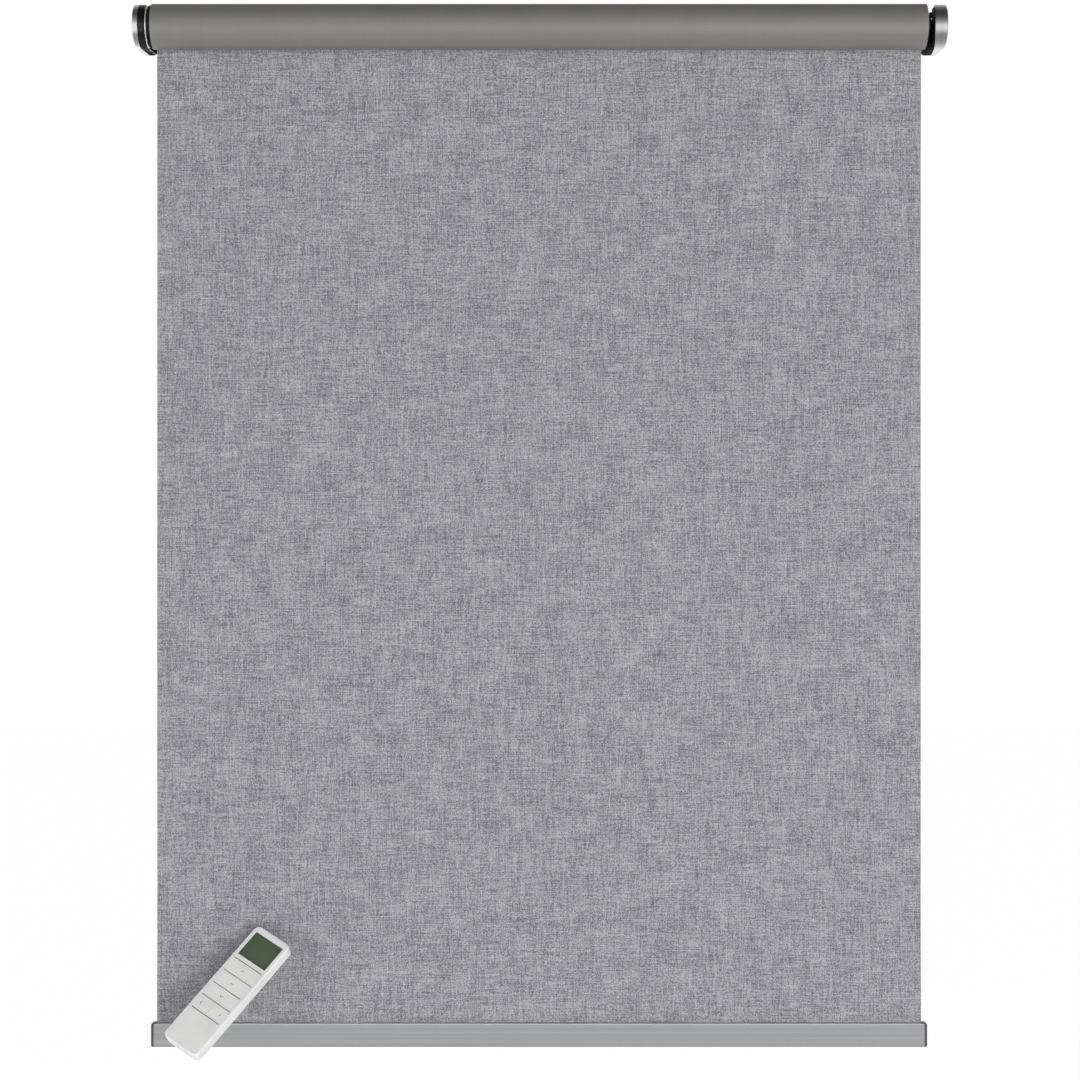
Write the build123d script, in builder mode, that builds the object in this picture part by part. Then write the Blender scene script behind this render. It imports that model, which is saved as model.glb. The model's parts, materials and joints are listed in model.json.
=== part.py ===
from build123d import *
import math
import os

os.makedirs("parts", exist_ok=True)

# Battery roller blind with its hand remote, in millimetres.
# X runs along the roller to the right, Y from the room to the wall, Z up.
# The origin is on the wall, midway between the four screw holes, level with the roller axis.

# The blind as a whole
fabric_width = 772.0
fabric_thickness = 0.45
hem_drop = 1001.0  # roller axis down to the top of the hem bar
axis_standoff = 49.0  # wall to roller axis
wound_turns = 6.5  # turns left on the tube while the blind is down

# Gaps
running_gap = 0.08  # round a fit that turns or slides
slip_gap = 0.15  # round pieces that plug into each other
face_gap = 0.3  # between faces that pass each other

# Outline of the two ends: a round nose about the roller axis, sides tapering to the wall
nose_radius = 21.6
wall_half_height = 17.7
cover_wall = 1.2
cover_edge_radius = 1.2
cover_space = 2.5  # between a bracket's plate and the skin of its cover
peg_radius = 1.6
peg_front = 14.0  # front peg, ahead of the roller axis
peg_rear = 32.0  # rear peg, behind the roller axis

# Wall brackets, folded from sheet
plate_thickness = 2.0
fold_radius = 1.0
flange_reach = 24.0  # how far a wall flange runs in behind the fabric
screw_inset = 8.0  # screw holes, in from the fabric's edge
screw_spacing = 22.0
screw_hole_radius = 2.25

# Roller tube
tube_radius = 19.0
tube_wall = 1.2
rib_count = 3
rib_width = 2.0
rib_height = 2.2
keyway_width = 4.0
keyway_depth = 2.0
keyway_wall = 1.1
keyway_mouth = 1.4

# Crown and drive wheel
crown_lip = 2.0  # how far the crown stands out past the tube
crown_thickness = 3.2
crown_spigot = 14.0
crown_edge = 1.0
trim_thickness = 1.4
trim_radius = 20.6
wheel_thickness = 16.0
wheel_hole_radius = 2.6
wheel_hole_count = 6
wheel_hole_circle = 11.0

# Motor unit
casing_radius = 14.0
casing_wall = 0.9
head_thickness = 6.6
head_edge = 2.0  # rounding beside the trim ring
head_spigot = 12.0
head_boss = 12.0  # square boss through the left bracket
head_boss_length = 2.0  # past the bracket's plate
boss_groove = 1.1
clip_thickness = 0.9
clip_width = 4.0
board_length = 70.0
board_thickness = 1.6
chip_start = 10.0  # from the end of the board beside the head
chip_length = 14.0
chip_width = 12.0
chip_height = 4.0
capacitor_start = 36.0  # the same way, to the middle of the first pair
capacitor_spacing = 12.0
capacitor_radius = 2.5
capacitor_height = 6.0
cell_radius = 9.2
cell_length = 65.0
cell_count = 3
cell_collar = 3.0
motor_length = 58.0
motor_radius = 12.6
motor_boss_radius = 4.0
motor_boss_length = 1.0
gearbox_length = 60.0
gearbox_lip = 2.5
shaft_radius = 4.0
shaft_flat = 0.8
shaft_bearing = 24.0  # shaft length inside the gearbox
unit_gap = 0.5  # between the units in the casing

# Underside of the motor head
panel_width = 5.0
panel_length = 30.0
panel_level = 17.8  # below the roller axis
panel_rear = 7.0  # rear edge of the panel, from the wall
button_place = 6.0  # from the rear edge of the panel
light_place = 12.0  # the same way
port_place = 22.0  # the same way
button_radius = 2.0
button_proud = 0.5
button_travel = 0.6
button_length = 4.0
light_radius = 1.0
light_length = 2.8
port_width = 9.0
port_height = 3.2
port_depth = 6.4
port_wall = 0.35
tongue_thickness = 0.7
flap_margin = 1.0
flap_thickness = 1.1
plug_depth = 1.6

# Idler end
idler_wall = 4.0
boss_radius = 9.0
boss_length = 5.0
bush_radius = 7.0
bush_length = 15.9
pin_radius = 4.5
pin_head_radius = 7.2
pin_head = 2.7
pin_guide_radius = 5.0
pin_guide = 19.0
pin_travel = 11.0
pin_spare = 8.0  # chamber left behind the pin when it is pushed in
chamber_radius = 7.6
spring_wire = 1.0
spring_radius = 6.9
carrier_gap = 0.7  # from the idler boss to the carrier
carrier_thickness = 8.0
carrier_top = 16.0  # above the roller axis
carrier_rim = 0.8  # width of the carrier that the right cover leaves open at the nose
cover_slant = 8.5  # how much further out that cover's rim lies at the wall
latch_width = 16.0
latch_height = 9.0
latch_thickness = 3.0
latch_travel = 13.0
tab_width = 5.0
tab_height = 4.2
tab_proud = 2.2
ledge_height = 6.0
ledge_length = 36.0
ledge_proud = 3.4
ledge_top = 11.5  # below the roller axis
carrier_screw_radius = 1.5
carrier_screw_head = 2.8
carrier_screw_head_height = 1.4
carrier_screw_recess = 0.7  # width and depth of the cross in its head
carrier_screw_y = 18.0  # behind the roller axis
carrier_screw_z = 10.0

# Hem bar
rail_overhang = 2.6  # hem rail past the fabric, at each end
rail_height = 23.2
rail_depth = 10.6
rail_wall = 1.1
rail_corner = 1.2
channel_radius = 2.5
mouth_width = 1.3
spline_radius = 2.2
hem_tuck = 1.2  # fabric inside the mouth of the rail
cap_thickness = 2.8
cap_corner = 1.0
cap_spigot = 9.0
cap_tab_length = 2.4
cap_tab_depth = 8.0
cap_tab_height = 0.8

# Hand remote, which stands in front of the sheet's lower left corner
remote_length = 142.0
remote_width = 45.0
remote_thickness = 12.5
remote_corner = 6.0
remote_edge = 1.5
remote_wall = 1.6
remote_face = 1.3
parting_gap = 0.2
remote_lean = 39.0  # leaning back, degrees
remote_yaw = -10.0  # turned about the vertical, degrees
remote_roll = 30.6  # turned in its own plane, degrees
remote_inset = 80.0  # its middle, in from the fabric's left edge
remote_rise = 5.0  # its lowest corner, above the bottom of the hem bar
window_width = 36.5
window_length = 28.4
window_margin = 6.8  # from the remote's top end
window_corner = 0.8
lens_thickness = 1.1
lens_lap = 1.0
display_thickness = 1.5
key_width = 37.0
key_pitch = 15.9
key_groove = 0.9  # between two rows
key_divider = 0.35  # between the two keys of the last row
key_rows = 4
key_margin = 4.7  # from the window to the first groove
key_corner = 0.7
key_travel = 0.6
keypad_thickness = 1.2
keypad_margin = 1.5
circuit_thickness = 1.0
circuit_length = 126.0
circuit_level = 1.0  # board's lower face, above the remote's mid plane
coin_radius = 12.25
coin_thickness = 5.0
door_width = 28.0
door_length = 36.0
door_thickness = 1.4
contact_width = 6.0
contact_thickness = 0.3

# Places along the roller, from the middle of the blind outwards
roll_face = fabric_width / 2
crown_in = roll_face + face_gap
crown_out = crown_in + crown_thickness
trim_in = crown_out + face_gap
trim_out = trim_in + trim_thickness
head_out = trim_out + head_thickness
left_plate_out = head_out + plate_thickness
left_skin = left_plate_out + cover_space
left_face = left_skin + cover_wall
idler_face = roll_face + boss_length
bush_in = idler_face - bush_length
pin_head_face = bush_in - face_gap
pin_head_back = pin_head_face - pin_head
chamber_back = pin_head_back - pin_guide - pin_travel - pin_spare
idler_in = chamber_back - idler_wall
carrier_in = idler_face + carrier_gap
carrier_out = carrier_in + carrier_thickness
right_plate_out = carrier_out + plate_thickness
right_skin = right_plate_out + cover_space
right_face = right_skin + cover_wall
flange_in = roll_face - flange_reach
screw_x = roll_face - screw_inset

# Radii and levels that follow
roll_inner = tube_radius + slip_gap
roll_radius = roll_inner + (wound_turns + 1) * fabric_thickness  # where the sheet leaves it
tube_bore = tube_radius - tube_wall
rib_tip = tube_bore - rib_height
keyway_floor = tube_bore - keyway_depth - keyway_wall
plug_radius = tube_bore - slip_gap
casing_bore = casing_radius - casing_wall
crown_radius = tube_radius + crown_lip
cover_fit = cover_wall + face_gap
tail_rear = -plate_thickness - fold_radius - slip_gap
sheet_front = roll_radius - fabric_thickness - axis_standoff
sheet_middle = sheet_front + fabric_thickness / 2
rail_length = fabric_width + 2 * rail_overhang
carrier_screw_length = plate_thickness + carrier_thickness - latch_thickness - 3 * face_gap

# Planes: the roller's cross section about its axis, and its lengthwise section
axis_plane = Plane(origin=(0, -axis_standoff, 0), x_dir=(0, 1, 0), z_dir=(1, 0, 0))
length_plane = Plane(origin=(0, -axis_standoff, 0), x_dir=(1, 0, 0), z_dir=(0, -1, 0))
roller_axis = Axis((0, -axis_standoff, 0), (1, 0, 0))


def save(piece, name):
    """Names a finished piece and writes it."""
    piece.part.label = name
    export_step(piece.part, f"parts/{name}.step")


def end_face(inset, rear_y):
    """Outline of an end, drawn in by inset and cut off at rear_y: round nose, tapering sides."""
    radius = nose_radius - inset
    corner = wall_half_height - inset
    lean = math.atan2(corner, axis_standoff)
    touch = lean + math.acos(radius / math.hypot(corner, axis_standoff))
    side_y = radius * math.cos(touch) - axis_standoff
    side_z = radius * math.sin(touch)
    rear_z = corner + (side_z - corner) * rear_y / side_y
    with BuildSketch(Plane.XY) as face:
        with BuildLine():
            Line((rear_y, -rear_z), (rear_y, rear_z))
            Line((rear_y, rear_z), (side_y, side_z))
            ThreePointArc((side_y, side_z), (-axis_standoff - radius, 0), (side_y, -side_z))
            Line((side_y, -side_z), (rear_y, -rear_z))
        make_face()
    return face.sketch


def d_face(radius, flat):
    """Round section with one flat, as on the motor's shaft."""
    with BuildSketch(Plane.XY) as face:
        Circle(radius)
        with Locations((0, 2 * radius - flat)):
            Rectangle(2 * radius, 2 * radius, mode=Mode.SUBTRACT)
    return face.sketch


def inner_ribs(gap):
    """Ribs and keyway inside the tube, each larger by gap all round, running out past its wall."""
    rib_reach = tube_radius - rib_tip + gap
    keyway_reach = tube_radius - keyway_floor + gap
    keyway_span = keyway_width + 2 * keyway_wall + 2 * gap
    rib_middle = tube_radius - rib_reach / 2
    with BuildSketch(Plane.XY) as face:
        with PolarLocations(rib_middle, rib_count, start_angle=90, angular_range=180, endpoint=True):
            Rectangle(rib_reach, rib_width + 2 * gap)
        with Locations((tube_radius - keyway_reach / 2, 0)):
            Rectangle(keyway_reach, keyway_span)
    return face.sketch


def pin_slot(gap):
    """Seat of the idler pin, open at the top so that the roller lifts out."""
    half = pin_radius + gap
    with BuildSketch(Plane.XY) as face:
        Circle(half)
        with Locations((0, nose_radius / 2)):
            Rectangle(2 * half, nose_radius)
    return face.sketch


def wall_bracket(side, plate_out, opening):
    """Folded angle: a plate beside the roller's end, and a flange on the wall behind the fabric."""
    plate_in = plate_out - plate_thickness
    reach = axis_standoff + nose_radius
    with BuildPart() as bracket:
        with BuildSketch(Plane.XY.offset(-nose_radius)) as section:
            with BuildLine():
                Polyline(
                    (side * plate_out, -reach),
                    (side * plate_out, 0),
                    (side * flange_in, 0),
                    (side * flange_in, -plate_thickness),
                    (side * plate_in, -plate_thickness),
                    (side * plate_in, -reach),
                    close=True,
                )
            make_face()
            outer_corner = section.vertices().sort_by_distance((side * plate_out, 0, 0))[0]
            fillet(outer_corner, fold_radius + plate_thickness)
            inner_corner = section.vertices().sort_by_distance((side * plate_in, -plate_thickness, 0))[0]
            fillet(inner_corner, fold_radius)
        extrude(amount=2 * nose_radius)
        with BuildSketch(Plane.YZ.offset(side * plate_out)):
            add(end_face(cover_fit, 0))
        extrude(amount=side * (flange_in - plate_out), mode=Mode.INTERSECT)
        with BuildSketch(Plane.XZ):
            with GridLocations(0, screw_spacing, 1, 2):
                with Locations((side * screw_x, 0)):
                    Circle(screw_hole_radius)
        extrude(amount=plate_thickness, mode=Mode.SUBTRACT)
        with BuildSketch(axis_plane.offset(side * plate_out)):
            add(opening)
            with Locations((-peg_front, 0), (peg_rear, 0)):
                Circle(peg_radius + running_gap)
        extrude(amount=-side * plate_thickness, mode=Mode.SUBTRACT)
        tip = bracket.faces().sort_by(Axis.X)[-1 if side < 0 else 0]
        fillet(tip.edges().sort_by(SortBy.LENGTH)[:2], plate_thickness)
    return bracket


def beside_roller(rim, slant, inner):
    """Seen from above: what lies between inner and a rim that slants outwards to the wall."""
    front = -axis_standoff - nose_radius
    with BuildSketch(Plane.XY) as face:
        with BuildLine():
            Polyline((inner, front), (rim, front), (rim + slant, 0), (inner, 0), close=True)
        make_face()
    return face.sketch


def end_cover(side, rim, skin, face, slant=0.0):
    """Cap over a bracket, open to the roller and to the wall, with two pegs on its skin."""
    rear = -face_gap
    with BuildPart() as cover:
        with BuildSketch(Plane.YZ.offset(side * rim)):
            add(end_face(0, rear))
        extrude(amount=side * (face - rim))
        outer = cover.faces().sort_by(Axis.X)[0 if side < 0 else -1]
        fillet(outer.edges().sort_by(Axis.Y)[:-1], cover_edge_radius)
        with BuildSketch(Plane.YZ.offset(side * rim)):
            add(end_face(cover_wall, rear))
        extrude(amount=side * (skin - rim), mode=Mode.SUBTRACT)
        with BuildSketch(axis_plane.offset(side * skin)):
            with Locations((-peg_front, 0), (peg_rear, 0)):
                Circle(peg_radius)
        extrude(amount=-side * (cover_space + plate_thickness - face_gap))
        if slant:
            with BuildSketch(Plane.XY.offset(-nose_radius)):
                add(beside_roller(rim, slant, rim - slant))
            extrude(amount=2 * nose_radius, mode=Mode.SUBTRACT)
    return cover


# Brackets and their covers
carrier_screws_at = [(carrier_screw_y, carrier_screw_z), (carrier_screw_y, -carrier_screw_z)]
with BuildSketch(Plane.XY) as boss_opening:
    Rectangle(head_boss + 2 * slip_gap, head_boss + 2 * slip_gap)

with BuildSketch(Plane.XY) as pin_and_screw_opening:
    add(pin_slot(running_gap))
    with Locations(*carrier_screws_at):
        Circle(carrier_screw_radius + slip_gap)

left_bracket = wall_bracket(-1, left_plate_out, boss_opening.sketch)
save(left_bracket, "left_bracket")

right_bracket = wall_bracket(1, right_plate_out, pin_and_screw_opening.sketch)
save(right_bracket, "right_bracket")

left_cover = end_cover(-1, head_out + face_gap, left_skin, left_face)
save(left_cover, "left_cover")

right_rim = carrier_in + carrier_rim
right_cover = end_cover(1, right_rim, right_skin, right_face, cover_slant)
save(right_cover, "right_cover")

# Motor head: black housing flush with the left cover, its tail running back to the wall
panel_middle = (-(trim_out + head_out) / 2, -panel_rear - panel_length / 2)
button_y = -panel_rear - button_place
light_y = -panel_rear - light_place
port_y = -panel_rear - port_place
boss_end = left_plate_out + head_boss_length

with BuildPart() as motor_head:
    with BuildSketch(Plane.YZ.offset(-head_out)):
        add(end_face(0, tail_rear))
    extrude(amount=head_thickness)
    fillet(motor_head.faces().sort_by(Axis.X)[-1].edges(), head_edge)
    with BuildSketch(axis_plane.offset(-boss_end)):
        Rectangle(head_boss, head_boss)
    extrude(amount=boss_end - head_out)
    with BuildSketch(axis_plane.offset(-left_plate_out - slip_gap)):
        with GridLocations(0, head_boss, 1, 2):
            Rectangle(2 * head_boss, 2 * boss_groove)
    extrude(amount=-clip_thickness - 2 * slip_gap, mode=Mode.SUBTRACT)
    with BuildSketch(axis_plane.offset(-trim_out)):
        Circle(casing_bore - slip_gap)
    extrude(amount=head_spigot)
    with BuildSketch(Plane.XY.offset(-panel_level)):
        with Locations(panel_middle):
            Rectangle(panel_width, panel_length)
    extrude(amount=-nose_radius, mode=Mode.SUBTRACT)
    with BuildSketch(Plane.XY.offset(-panel_level)):
        with Locations((panel_middle[0], button_y)):
            Circle(button_radius + running_gap)
    extrude(amount=button_length + button_travel + slip_gap, mode=Mode.SUBTRACT)
    with BuildSketch(Plane.XY.offset(-panel_level)):
        with Locations((panel_middle[0], light_y)):
            Circle(light_radius + running_gap)
    extrude(amount=light_length, mode=Mode.SUBTRACT)
    with BuildSketch(Plane.XY.offset(-panel_level)):
        with Locations((panel_middle[0], port_y)):
            SlotOverall(port_width + 2 * slip_gap, port_height + 2 * slip_gap, rotation=90)
    extrude(amount=port_depth + slip_gap, mode=Mode.SUBTRACT)
save(motor_head, "motor_head")

with BuildPart() as motor_lock_clip:
    with BuildSketch(axis_plane.offset(-left_plate_out - 2 * slip_gap)):
        groove_half = head_boss / 2 - boss_groove + slip_gap
        with Locations((clip_width / 2, 0)):
            Rectangle(head_boss + clip_width, 2 * (groove_half + clip_width))
        with Locations((-clip_width / 2 + slip_gap, 0)):
            Rectangle(head_boss + clip_width, 2 * groove_half, mode=Mode.SUBTRACT)
    extrude(amount=-clip_thickness)
    fillet(motor_lock_clip.edges().filter_by(Axis.X).sort_by(Axis.Y)[-2:], clip_width / 2)
save(motor_lock_clip, "motor_lock_clip")

with BuildPart() as trim_ring:
    with BuildSketch(axis_plane.offset(-trim_out)):
        Circle(trim_radius)
        Circle(casing_radius + running_gap, mode=Mode.SUBTRACT)
    extrude(amount=trim_thickness)
    chamfer(trim_ring.edges().filter_by(GeomType.CIRCLE).sort_by(SortBy.RADIUS)[-2:], trim_thickness / 4)
save(trim_ring, "trim_ring")

with BuildPart() as setting_button:
    with BuildSketch(Plane.XY.offset(-panel_level - button_proud)):
        with Locations((panel_middle[0], button_y)):
            Circle(button_radius)
    extrude(amount=button_length + button_proud)
    fillet(setting_button.edges().sort_by(Axis.Z)[0], button_proud / 2)
save(setting_button, "setting_button")

with BuildPart() as status_light:
    with BuildSketch(Plane.XY.offset(-panel_level)):
        with Locations((panel_middle[0], light_y)):
            Circle(light_radius)
    extrude(amount=light_length)
save(status_light, "status_light")

with BuildPart() as charging_port:
    with BuildSketch(Plane.XY.offset(-panel_level)):
        with Locations((panel_middle[0], port_y)):
            SlotOverall(port_width, port_height, rotation=90)
    extrude(amount=port_depth)
    with BuildSketch(Plane.XY.offset(-panel_level)):
        with Locations((panel_middle[0], port_y)):
            SlotOverall(port_width - 2 * port_wall, port_height - 2 * port_wall, rotation=90)
    extrude(amount=port_depth - 2 * port_wall, mode=Mode.SUBTRACT)
    with BuildSketch(Plane.XY.offset(-panel_level + plug_depth + face_gap)):
        with Locations((panel_middle[0], port_y)):
            Rectangle(tongue_thickness, port_width - port_height)
    extrude(amount=port_depth - plug_depth - face_gap - port_wall)
save(charging_port, "charging_port")

plug_step = 2 * (port_wall + slip_gap)
with BuildPart() as port_cover:
    with BuildSketch(Plane.XY.offset(-panel_level - slip_gap)):
        with Locations((panel_middle[0], port_y)):
            SlotOverall(port_width + 2 * flap_margin, port_height + flap_margin, rotation=90)
    extrude(amount=-flap_thickness)
    fillet(port_cover.faces().sort_by(Axis.Z)[0].edges(), flap_thickness / 3)
    with BuildSketch(Plane.XY.offset(-panel_level - slip_gap)):
        with Locations((panel_middle[0], port_y)):
            SlotOverall(port_width - plug_step, port_height - plug_step, rotation=90)
    extrude(amount=plug_depth + slip_gap)
save(port_cover, "port_cover")

# Motor unit inside the tube, from the head inwards
board_start = -trim_out + head_spigot + unit_gap
cells_start = board_start + board_length + unit_gap
motor_start = cells_start + cell_count * cell_length + unit_gap
gearbox_start = motor_start + motor_length + unit_gap
gearbox_end = gearbox_start + gearbox_length
wheel_start = gearbox_end + face_gap
wheel_end = wheel_start + wheel_thickness
casing_end = gearbox_end - gearbox_lip

with BuildPart() as motor_casing:
    with BuildSketch(axis_plane.offset(-trim_out)):
        Circle(casing_radius)
        Circle(casing_bore, mode=Mode.SUBTRACT)
    extrude(amount=casing_end + trim_out)
save(motor_casing, "motor_casing")

board_half = casing_bore - slip_gap
with BuildPart() as control_board:
    with BuildSketch(Plane.XY.offset(-board_thickness / 2)):
        with Locations((board_start + board_length / 2, -axis_standoff)):
            Rectangle(board_length, 2 * math.sqrt(board_half**2 - (board_thickness / 2) ** 2))
    extrude(amount=board_thickness)
    with BuildSketch(Plane.XY.offset(board_thickness / 2)):
        with Locations((board_start + chip_start + chip_length / 2, -axis_standoff)):
            Rectangle(chip_length, chip_width)
    extrude(amount=chip_height)
    with BuildSketch(Plane.XY.offset(board_thickness / 2)):
        with Locations((board_start + capacitor_start + capacitor_spacing / 2, -axis_standoff)):
            with GridLocations(capacitor_spacing, 4 * capacitor_radius, 2, 2):
                Circle(capacitor_radius)
    extrude(amount=capacitor_height)
save(control_board, "control_board")

with BuildPart() as battery_pack:
    with BuildSketch(axis_plane.offset(cells_start)):
        Circle(cell_radius)
    extrude(amount=cell_count * cell_length)
    for cell in range(cell_count + 1):
        collar_at = cells_start + cell * (cell_length - cell_collar / cell_count)
        with BuildSketch(axis_plane.offset(collar_at)):
            Circle(casing_bore - slip_gap)
        extrude(amount=cell_collar)
save(battery_pack, "battery_pack")

with BuildPart() as electric_motor:
    with BuildSketch(axis_plane.offset(motor_start)):
        Circle(motor_radius)
    extrude(amount=motor_length - motor_boss_length)
    chamfer(electric_motor.edges().filter_by(GeomType.CIRCLE), unit_gap)
    with BuildSketch(axis_plane.offset(motor_start + motor_length - motor_boss_length)):
        Circle(motor_boss_radius)
    extrude(amount=motor_boss_length)
save(electric_motor, "electric_motor")

with BuildPart() as gearbox:
    with BuildSketch(axis_plane.offset(gearbox_start)):
        Circle(casing_bore - slip_gap)
    extrude(amount=gearbox_length)
    with BuildSketch(axis_plane.offset(casing_end)):
        Circle(casing_radius)
    extrude(amount=gearbox_lip)
    chamfer(gearbox.edges().filter_by(GeomType.CIRCLE).sort_by(Axis.X)[-1], gearbox_lip / 4)
    with BuildSketch(axis_plane.offset(gearbox_end)):
        Circle(shaft_radius + running_gap)
    extrude(amount=-shaft_bearing - face_gap, mode=Mode.SUBTRACT)
save(gearbox, "gearbox")

with BuildPart() as output_shaft:
    with BuildSketch(axis_plane.offset(gearbox_end - shaft_bearing)):
        Circle(shaft_radius)
    extrude(amount=shaft_bearing)
    with BuildSketch(axis_plane.offset(gearbox_end)):
        add(d_face(shaft_radius, shaft_flat))
    extrude(amount=wheel_end - gearbox_end)
    chamfer(output_shaft.faces().sort_by(Axis.X)[-1].edges(), shaft_flat / 2)
save(output_shaft, "output_shaft")

# Roller: what turns
with BuildPart() as roller_tube:
    with BuildSketch(axis_plane.offset(-roll_face)):
        Circle(tube_radius)
        Circle(tube_bore, mode=Mode.SUBTRACT)
        add(inner_ribs(0))
        Circle(tube_radius, mode=Mode.INTERSECT)
        with Locations((tube_bore - keyway_depth / 2, 0)):
            Rectangle(keyway_depth, keyway_width, mode=Mode.SUBTRACT)
        with Locations((tube_radius, 0)):
            Rectangle(4 * tube_wall, keyway_mouth, mode=Mode.SUBTRACT)
    extrude(amount=fabric_width)
save(roller_tube, "roller_tube")

with BuildPart() as fabric_key_strip:
    with BuildSketch(axis_plane.offset(-roll_face)):
        with Locations((tube_bore - keyway_depth / 2, 0)):
            RectangleRounded(keyway_depth - 2 * slip_gap, keyway_width - 2 * slip_gap, slip_gap)
    extrude(amount=fabric_width)
save(fabric_key_strip, "fabric_key_strip")

# The fabric left on the tube. Only its outer turn winds: four quarter arcs, each tighter
# than the last by a quarter of the fabric, from where the sheet leaves at the back.
with BuildPart() as fabric_roll:
    with BuildSketch(axis_plane.offset(-roll_face)):
        with BuildLine():
            step = fabric_thickness / 4
            arc_radius = roll_radius - step / 2
            centre = Vector(roll_radius - arc_radius, 0)
            for quarter in range(4):
                CenterArc(centre, arc_radius, 90 * quarter, 90)
                arc_radius -= step
                centre += Vector(0, step).rotate(Axis.Z, 90 * quarter)
            Line((roll_radius - fabric_thickness, 0), (roll_radius, 0))
        make_face()
        Circle(roll_inner, mode=Mode.SUBTRACT)
    extrude(amount=fabric_width)
save(fabric_roll, "fabric_roll")

with BuildPart() as crown_ring:
    with BuildSketch(axis_plane.offset(-crown_in)):
        Circle(plug_radius)
        add(inner_ribs(slip_gap), mode=Mode.SUBTRACT)
    extrude(amount=face_gap + crown_spigot)
    with BuildSketch(axis_plane.offset(-crown_out)):
        Circle(crown_radius)
    extrude(amount=crown_thickness)
    rims = crown_ring.edges().filter_by(GeomType.CIRCLE).sort_by(SortBy.RADIUS)[-2:]
    chamfer(rims, crown_edge)
    with BuildSketch(axis_plane.offset(-crown_out)):
        Circle(casing_radius + running_gap)
    extrude(amount=crown_thickness + face_gap + crown_spigot, mode=Mode.SUBTRACT)
save(crown_ring, "crown_ring")

with BuildPart() as drive_wheel:
    with BuildSketch(axis_plane.offset(wheel_start)):
        Circle(plug_radius)
        add(inner_ribs(slip_gap), mode=Mode.SUBTRACT)
        add(d_face(shaft_radius + running_gap, shaft_flat), mode=Mode.SUBTRACT)
        with PolarLocations(wheel_hole_circle, wheel_hole_count, start_angle=30):
            Circle(wheel_hole_radius, mode=Mode.SUBTRACT)
    extrude(amount=wheel_thickness)
save(drive_wheel, "drive_wheel")

# Idler end: a plug in the tube, its bush, and the sprung pin that sits in the right bracket
with BuildPart() as idler_plug:
    with BuildSketch(axis_plane.offset(idler_in)):
        Circle(plug_radius)
        add(inner_ribs(slip_gap), mode=Mode.SUBTRACT)
    extrude(amount=roll_face - idler_in)
    with BuildSketch(axis_plane.offset(roll_face)):
        Circle(boss_radius)
    extrude(amount=boss_length)
    nose = idler_plug.edges().filter_by(GeomType.CIRCLE).sort_by(Axis.X)[-1]
    chamfer(nose, boss_length / 8)
    with BuildSketch(axis_plane.offset(chamber_back)):
        Circle(chamber_radius)
    extrude(amount=bush_in - chamber_back, mode=Mode.SUBTRACT)
    with BuildSketch(axis_plane.offset(bush_in)):
        Circle(bush_radius + running_gap / 2)
    extrude(amount=bush_length, mode=Mode.SUBTRACT)
save(idler_plug, "idler_plug")

with BuildPart() as idler_bush:
    with BuildSketch(axis_plane.offset(bush_in)):
        Circle(bush_radius)
        Circle(pin_radius + running_gap, mode=Mode.SUBTRACT)
    extrude(amount=bush_length)
save(idler_bush, "idler_bush")

with BuildPart() as idler_pin:
    with BuildSketch(length_plane):
        with BuildLine():
            Polyline(
                (pin_head_back - pin_guide, 0),
                (pin_head_back - pin_guide, pin_guide_radius),
                (pin_head_back, pin_guide_radius),
                (pin_head_back, pin_head_radius),
                (pin_head_face, pin_head_radius),
                (pin_head_face, pin_radius),
                (right_plate_out, pin_radius),
                (right_plate_out, 0),
                close=True,
            )
        make_face()
    revolve(axis=roller_axis)
    ends = idler_pin.edges().filter_by(GeomType.CIRCLE).sort_by(Axis.X)
    chamfer([ends[0], ends[-1]], pin_radius / 5)
save(idler_pin, "idler_pin")

with BuildPart() as pin_spring:
    with BuildSketch(axis_plane.offset(chamber_back)):
        Circle(spring_radius)
        Circle(spring_radius - spring_wire, mode=Mode.SUBTRACT)
    extrude(amount=pin_head_back - chamber_back)
save(pin_spring, "pin_spring")

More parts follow.
